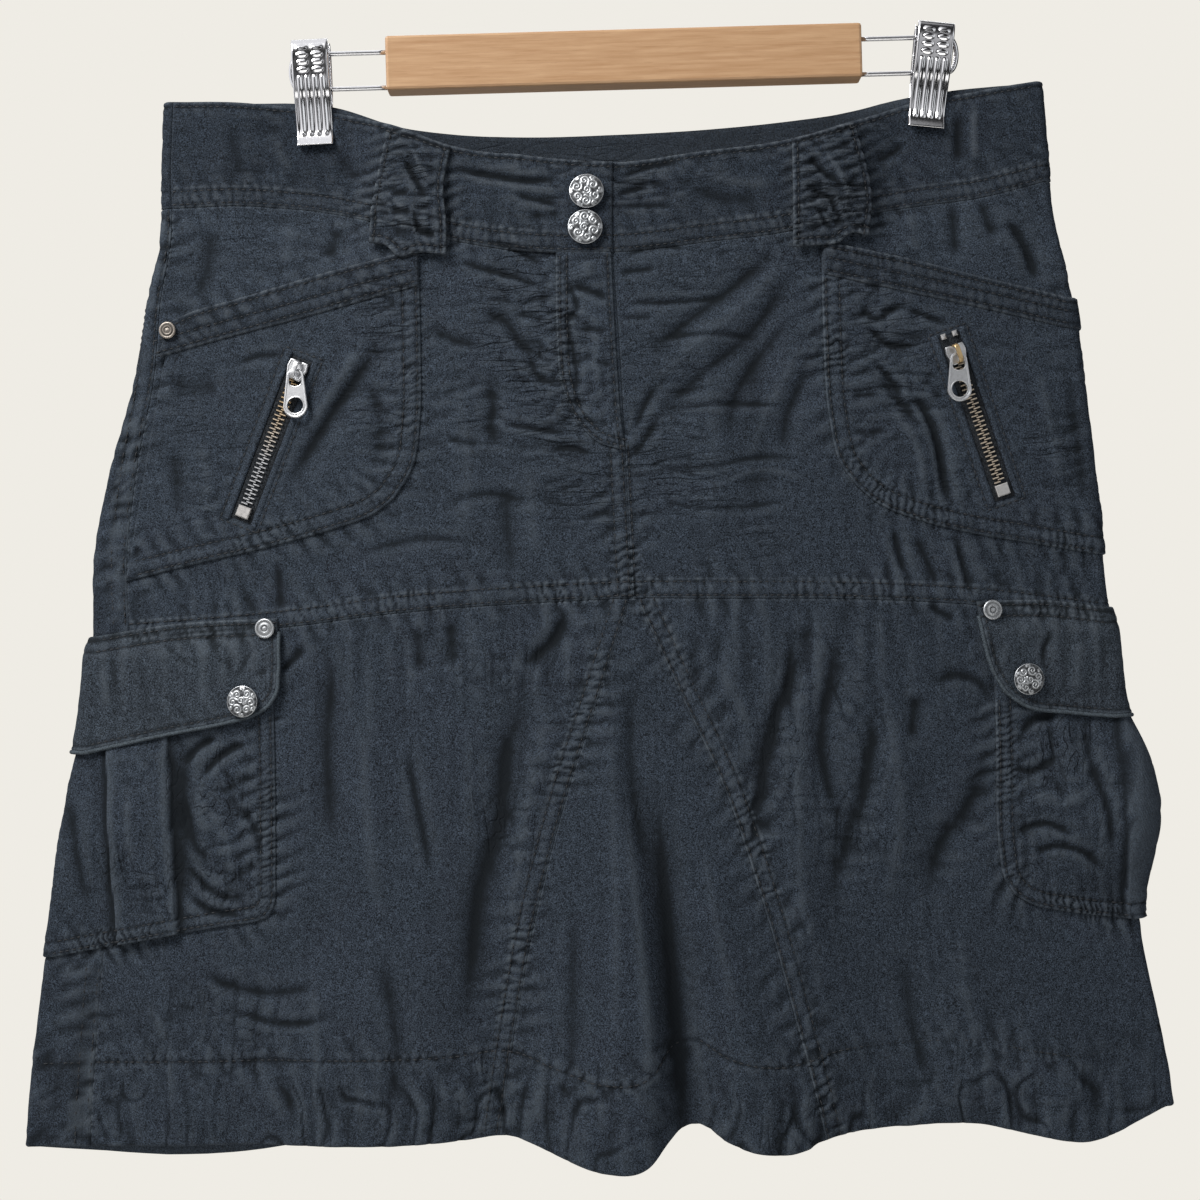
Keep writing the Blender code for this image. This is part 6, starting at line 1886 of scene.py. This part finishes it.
def make_zip_pull(side, axis_point, slider_turn):
    """A flat tab with raised rims, which hangs from the bridge by its crossbar."""
    outside, eye, hole = pull_rings()
    half = PULL_THICKNESS / 2
    web = half * PULL_WEB
    up = np.array((0, 0, 1.0))
    parts = [slab((inset(outside, 0.3), inset(eye, -0.2), inset(hole, -0.2)), -web, web, 0.06),
             swept(ring_3d(inset(outside, 0.55)), up, 0.55, half, 12, True, 0.8),
             swept(ring_3d(inset(hole, -0.32)), up, 0.34, half, 10, True, 0.8),
             swept(ring_3d(inset(eye, -0.28)), up, 0.30, half * 0.92, 10, True, 0.8)]
    points, faces = merged(parts)
    deep = np.zeros(len(points))
    deep[:len(parts[0][0])] = WEB_DARK
    out = (slider_turn @ Vector((0, 0, 1))).normalized()
    along_axis = Vector((0, 0, 1)).cross(out).normalized()
    turn = Matrix((along_axis, out.cross(along_axis), out)).transposed().to_4x4()
    name = f"zip_pull_{side}"
    add_piece(f"{name}_tab", mesh_of(f"{name}_tab", points, faces, {"deep": deep}), "zip_metal", name,
              f"pull_{side}", Matrix.Translation(axis_point) @ turn, crisp=True)


SLIDER_PLATE = [(-4.2, 4.1), (-3.9, 4.4), (-1.6, 4.4), (-1.2, 3.9), (1.2, 3.9), (1.6, 4.4), (3.9, 4.4),
                (4.2, 4.1), (4.7, 1.2), (4.5, 0.4), (3.3, -3.9), (2.9, -4.3), (-2.9, -4.3), (-3.3, -3.9),
                (-4.5, 0.4), (-4.7, 1.2)]
STRAP = [(4.1, 0.6), (4.1, 2.3), (3.9, 3.4), (3.2, 4.15), (2.2, 4.4), (0, 4.45), (-2.2, 4.4), (-3.1, 4.1),
         (-3.7, 3.3), (-3.9, 2.3), (-3.9, 0.6)]
STRAP_SIZE = (1.05, 0.42)


def make_zip_slider(side):
    """The slider's shaped plate and the strap that holds the pull."""
    middle, lean = ZIPS[side]
    above_middle = ZIP_SLOT[1] - 2 * (SLIDER[1] / 2 + SLIDER_FROM_END[side])
    across, drop = box_corners(middle, lean, 0, above_middle)[0]
    matrix = frame_at(across, drop, FIRST_PLY + ZIP_TAPE_WALL + PLY_GAP + SLIDER[2] / 2, lean)
    face = SLIDER[2] / 2
    plate = slab((SLIDER_PLATE[::-1],), -face, face * 0.8, 0.3)
    lip = swept(ring_3d(inset(SLIDER_PLATE[::-1], 0.5), face * 0.8 - 0.05), np.array((0, 0, 1.0)), 0.45, 0.22,
                8, True)
    path = flowing([(y, z) for y, z in STRAP], 0.35)
    strap = swept(np.stack([0 * path[:, 0], path[:, 0], path[:, 1]], axis=-1), np.array((1.0, 0, 0)),
                  STRAP_SIZE[1], STRAP_SIZE[0], 16, False, 0.45)
    points, faces = merged([plate, lip, strap])
    brass = np.zeros(len(points))
    brass[-len(strap[0]):] = 0.0 if side == "left" else 1.0
    name = f"zip_slider_{side}"
    add_piece(f"{name}_body", mesh_of(f"{name}_body", points, faces, {"brass": brass}), "zip_metal", name,
              matrix=matrix, crisp=True)
    make_zip_pull(side, matrix @ Vector((0, 0, (face + PULL_AXIS_HEIGHT) * MM)), matrix.to_3x3())
    make_teeth(side)


TOOTH_PITCH = 1.04      # from a tooth to the next one of the other side
TOOTH = (3.1, 0.62, 1.15)
TOOTH_INWARD = 0.5      # how far a tooth reaches past the middle of the zip
TEETH_END = 7.4         # of the chain, from the slot's lower end
STOP = (6.2, 5.2, 1.9)
TOP_STOP = (2.4, 2.4, 1.7)


def small_block(size, chamfer):
    """A block from its base up, with its upper edges chamfered: points and faces."""
    x, y, z = size[0] / 2, size[1] / 2, size[2]
    levels = ((x, y, 0), (x, y, z - chamfer), (x - chamfer, y - chamfer, z))
    points = [(i * wide, j * high, level) for wide, high, level in levels for i, j in ROUND]
    faces = [(3, 2, 1, 0), (8, 9, 10, 11)]
    for low in (0, 4):
        faces += [(low + i, low + (i + 1) % 4, low + 4 + (i + 1) % 4, low + 4 + i) for i in range(4)]
    return np.array(points, float), [np.array(faces)]


def make_teeth(side):
    """The chain of teeth down the tape, its bottom stop, and the top stops where they show."""
    middle, lean = ZIPS[side]
    top, bottom = (np.array(p) for p in box_corners(middle, lean, 0, ZIP_SLOT[1])[::2][:2])
    down = (bottom - top) / np.linalg.norm(bottom - top)
    right = np.array((down[1], -down[0]))
    length = ZIP_SLOT[1] - TEETH_END
    count = int((length - 6) / TOOTH_PITCH)
    base = FIRST_PLY + ZIP_TAPE_WALL - 0.1
    parts, brass = [], []

    def put(form, along, aside, shine):
        at = top + down * along + right * aside
        relief = float(cloth_relief(at[:1], at[1:])[0][0])
        matrix = frame_at(float(at[0]), float(at[1]), base + relief, lean)
        points, faces = form
        turn = np.array(matrix.to_3x3())
        parts.append((points @ turn.T + np.array(matrix.translation) / MM, faces))
        brass.append(np.full(len(points), shine))

    tooth = small_block(TOOTH, 0.2)
    for i in range(count):
        along = length - 1 - i * TOOTH_PITCH
        hand = 1 if i % 2 else -1
        near_slider = 1 - (along - 14) / (length - 14)
        shine = 0.9 * np.clip(near_slider * 1.9 - 0.7, 0, 1) if side == "left" else 0.5
        put(tooth, along, hand * (TOOTH[0] / 2 - TOOTH_INWARD), float(shine))
    put(small_block(STOP, 0.4), ZIP_SLOT[1] - 4.6, 0, 0.15)
    if side == "right":
        for aside in (-2.7, 2.7):
            put(small_block(TOP_STOP, 0.8), 0.6, aside, 0.1)
    points, faces = merged(parts)
    mesh = mesh_of(f"zip_teeth_{side}", points, faces, {"brass": np.concatenate(brass)})
    add_piece(f"zip_teeth_{side}", mesh, "zip_metal", crisp=True)


# A clip's pressed relief: rows of ovals near the top and ribs below them.
OVAL_DROPS, OVAL_OUT, OVAL_SIZE = (4.3, 7.6, 10.9, 14.2), 3.35, (2.5, 1.0)
RIB_PLACES, RIB_HALF, RIB_DROPS = (-5.1, -1.7, 1.7, 5.1), 0.95, (17.0, 42.5)
PRESSED = 0.62
CLIP_EDGE = 0.7
CLIP_SHEET = 0.9        # of the plate's thickness
LIP_DIP, LIP_DROPS = 1.6, (-0.6, 2.0)   # how a jaw's top bends in


def clip_relief(x, drop):
    """How far the clip's pressed marks stand out."""
    rise = np.zeros(np.shape(x))
    for row in OVAL_DROPS:
        for middle in (-OVAL_OUT, OVAL_OUT):
            reach = ((x - middle) / OVAL_SIZE[0]) ** 2 + ((drop - row) / OVAL_SIZE[1]) ** 2
            rise = np.maximum(rise, 0.9 * (1 - ramp(reach, 0.35, 1.25)))
    for place_x in RIB_PLACES:
        along = ramp(drop, RIB_DROPS[0] - 0.7, RIB_DROPS[0] + 0.9)
        along = along * (1 - ramp(drop, RIB_DROPS[1] - 0.9, RIB_DROPS[1] + 0.7))
        rise = np.maximum(rise, along * np.clip(1 - ((x - place_x) / RIB_HALF) ** 2, 0, 1) ** 0.6)
    return rise * PRESSED


def plate_shell(name, grid, thickness):
    """A closed plate from its outer face's points, with its thickness inwards."""
    down, along = np.gradient(grid, axis=0), np.gradient(grid, axis=1)
    normal = np.cross(down, along)
    normal /= np.linalg.norm(normal, axis=-1, keepdims=True)
    inner = grid - normal * thickness
    size = grid.shape[0] * grid.shape[1]
    fine = np.arange(size).reshape(grid.shape[:2])
    ring, under = rim_loop(fine), rim_loop(fine + size)
    rim = np.stack([ring[:-1], under[:-1], under[1:], ring[1:]], axis=-1)
    points = np.concatenate([grid.reshape(-1, 3), inner.reshape(-1, 3)])
    return mesh_of(name, points, [quads(fine), quads(fine + size)[:, ::-1], rim])


def make_clip(side, face):
    """One jaw of a clip, front (-1) or back (1), pressed from sheet steel."""
    x, lean = CLIPS[side]
    half = CLIP_WIDTH / 2
    drop = np.concatenate([np.linspace(0.2, 46.2, 92), [46.6, 47.0, 47.3]])
    stand = read(CLIP_PROFILE, "stand", drop) + CLIP_PLATE - LIP_DIP * (1 - ramp(drop, *LIP_DROPS))
    wall = np.maximum(read(CLIP_PROFILE, "wall", drop), CLIP_EDGE + 0.1)
    flat = np.linspace(-half + CLIP_EDGE, half - CLIP_EDGE, 42)
    lines = [(-half + CLIP_EDGE * (1 - math.cos(angle)), CLIP_EDGE * (1 - math.sin(angle)))
             for angle in np.radians((0, 30, 60))]
    grid = []
    for d, s, w in zip(drop, stand, wall):
        edge = [(-half, w), (-half, w * 0.6 + CLIP_EDGE * 0.4)] + lines
        row = np.array(edge + [(a, 0.0) for a in flat] + [(-a, b) for a, b in edge[::-1]])
        rise = clip_relief(row[:, 0], np.full(len(row), d)) * (row[:, 1] < 0.01)
        grid.append(np.stack([row[:, 0], face * (s - row[:, 1] + rise), np.full(len(row), -d)], axis=-1))
    grid = np.array(grid)
    if face > 0:
        grid = grid[:, ::-1]
    name = f"clip_{'front' if face < 0 else 'back'}_{side}"
    matrix = Matrix.Translation((x * MM, 0, 0)) @ Matrix.Rotation(math.radians(lean), 4, "Y")
    mesh = plate_shell(f"{name}_jaw", grid, CLIP_PLATE * CLIP_SHEET)
    add_piece(f"{name}_jaw", mesh, "chrome", name, matrix=matrix)


WIRE_ROUNDED = 0.86     # of the radius to the solid wire's corners


def make_wire(side):
    """The wire that goes out from the bar, round the clip's far edge and back."""
    x = CLIPS[side][0]
    out = math.copysign(1, x)
    start = out * (BAR_WIDTH / 2 + PLY_GAP)
    top, bottom = WIRE_DROPS
    bend = x + out * (CLIP_WIDTH / 2 - WIRE_HOLE_IN)
    middle, half = (top + bottom) / 2, (bottom - top) / 2
    turn = [(bend + out * WIRE_BEND * math.sin(a), 0, -middle + half * math.cos(a))
            for a in (math.pi * i / 32 for i in range(33))]
    share = np.linspace(0, 1, 12)[:-1, None]
    upper, lower = np.array((start, 0, -top)), np.array((start, 0, -bottom))
    path = np.concatenate([upper * (1 - share) + np.array(turn[0]) * share, turn,
                           (np.array(turn[-1]) * (1 - share) + lower * share)[1:], lower[None]])
    radius = WIRE_RADIUS * WIRE_ROUNDED
    points, faces = swept(path, np.array((0, -1.0, 0)), radius, radius, 16)
    name = f"hanger_wire_{side}"
    add_piece(f"{name}_rod", mesh_of(f"{name}_rod", points, faces), "chrome", name)


def make_hanger():
    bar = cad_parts["hanger_bar"]
    bar.data.materials.clear()
    bar.data.materials.append(FINISHES["wood"])
    for side in SIDES:
        make_wire(side)
        make_clip(side, -1)
        make_clip(side, 1)


# ---- Studio -----------------------------------------------------------------------------------

CAMERA_AT = (-0.0174, -1.0, -0.2548)
CAMERA_ROLL = 1.6           # degrees
SENSOR = 36.0
SEEN_WIDTH = 0.54           # metres across the picture at the bar


def make_camera():
    lens = bpy.data.cameras.new("view")
    lens.sensor_width = SENSOR
    lens.lens = SENSOR * -CAMERA_AT[1] / SEEN_WIDTH
    camera = bpy.data.objects.new("view", lens)
    bpy.context.scene.collection.objects.link(camera)
    tilt = Matrix.Rotation(math.radians(90), 4, "X")
    roll = Matrix.Rotation(math.radians(-CAMERA_ROLL), 4, "Z")
    camera.matrix_world = Matrix.Translation(CAMERA_AT) @ tilt @ roll
    bpy.context.scene.camera = camera


# Soft lamps: name, place, the point they face, width and height in metres, power, colour.
LAMPS = (
    ("key", (-0.80, -0.80, 0.85), (0, 0, -0.27), (0.7, 0.6), 30.0, (1.0, 0.985, 0.96)),
    ("fill", (1.35, -1.3, 0.1), (0, 0, -0.28), (1.0, 1.4), 4.4, (0.96, 0.98, 1.0)),
    ("rim", (0.2, 1.3, 0.9), (0, 0, -0.25), (1.4, 0.8), 6.0, (1.0, 1.0, 1.0)),
    ("low", (0.0, -1.2, -1.0), (0, 0, -0.35), (1.4, 0.5), 3.0, (1.0, 0.99, 0.97)),
)
BACKDROP = (0.863, 0.839, 0.783, 1)
AMBIENT = (0.92, 0.95, 1.0, 1)
AMBIENT_STRENGTH = 0.20
# What polished metal mirrors: dark and bright bands along one direction, from 0 to 1.
REFLECTED_WAY = (-0.75, 0.0, 0.62)
REFLECTED = ((0.0, 0.02), (0.40, 0.02), (0.46, 0.40), (0.51, 0.62), (0.55, 0.10), (0.60, 0.02), (0.69, 0.03),
             (0.75, 1.0), (1.0, 1.0))
REFLECTED_STRENGTH = 0.95


def make_lights():
    for name, at, facing, size, power, colour in LAMPS:
        light = bpy.data.lights.new(name, "AREA")
        light.shape = "RECTANGLE"
        light.size, light.size_y = size
        light.energy = power
        light.color = colour
        lamp = bpy.data.objects.new(name, light)
        bpy.context.scene.collection.objects.link(lamp)
        lamp.location = at
        lamp.rotation_euler = (Vector(facing) - Vector(at)).to_track_quat("-Z", "Y").to_euler()


def make_world():
    """A pale backdrop for what the camera sees, banded light for metal, and dimmer sky light for the rest."""
    world = bpy.data.worlds.new("studio")
    bpy.context.scene.world = world
    world.use_nodes = True
    tree = world.node_tree
    seen = tree.nodes["Background"]
    seen.inputs["Color"].default_value = BACKDROP
    lit = node(tree, "ShaderNodeBackground", {"Color": AMBIENT, "Strength": AMBIENT_STRENGTH})
    path = node(tree, "ShaderNodeLightPath")
    way = node(tree, "ShaderNodeVectorMath", {0: node(tree, "ShaderNodeTexCoord").outputs["Generated"],
                                              1: REFLECTED_WAY}, operation="DOT_PRODUCT").outputs["Value"]
    bands = node(tree, "ShaderNodeValToRGB", {"Fac": maths(tree, "MULTIPLY_ADD", way, 0.5, 0.5)})
    stops = bands.color_ramp.elements
    for _ in REFLECTED[2:]:
        stops.new(0.5)
    for stop, (at, level) in zip(stops, REFLECTED):
        stop.position, stop.color = at, (level, level, level * 1.02, 1)
    mirrored = node(tree, "ShaderNodeBackground", {"Color": bands.outputs[0], "Strength": REFLECTED_STRENGTH})
    glossy = node(tree, "ShaderNodeMixShader", {0: path.outputs["Is Glossy Ray"], 1: lit.outputs[0],
                                                2: mirrored.outputs[0]})
    mixed = node(tree, "ShaderNodeMixShader", {0: path.outputs["Is Camera Ray"], 1: glossy.outputs[0],
                                               2: seen.outputs[0]})
    tree.links.new(mixed.outputs[0], tree.nodes["World Output"].inputs["Surface"])


FLOOR_DROP, FLOOR_HALF = 1200.0, 2000.0


def make_floor():
    corners = [(FLOOR_HALF * i, FLOOR_HALF * j, -FLOOR_DROP) for i, j in ROUND]
    mesh = mesh_of("floor", corners, [np.array([[0, 1, 2, 3]])])
    floor = bpy.data.objects.new("floor", mesh)
    bpy.context.scene.collection.objects.link(floor)
    finish, tree, shader = new_finish("pale_floor")
    feed(tree, shader, {"Base Color": (0.80, 0.78, 0.74, 1), "Roughness": 0.9})
    mesh.materials.append(finish)


def main():
    make_waistband()
    make_body()
    make_fly()
    for side in SIDES:
        make_hip_pocket(side)
        make_cargo_pocket(side)
    make_belt_loops()
    make_stitching()
    make_fastenings()
    for side in SIDES:
        make_zip_slider(side)
    make_hanger()
    make_camera()
    make_lights()
    make_world()
    make_floor()
    bpy.context.scene.view_settings.view_transform = "Standard"


main()
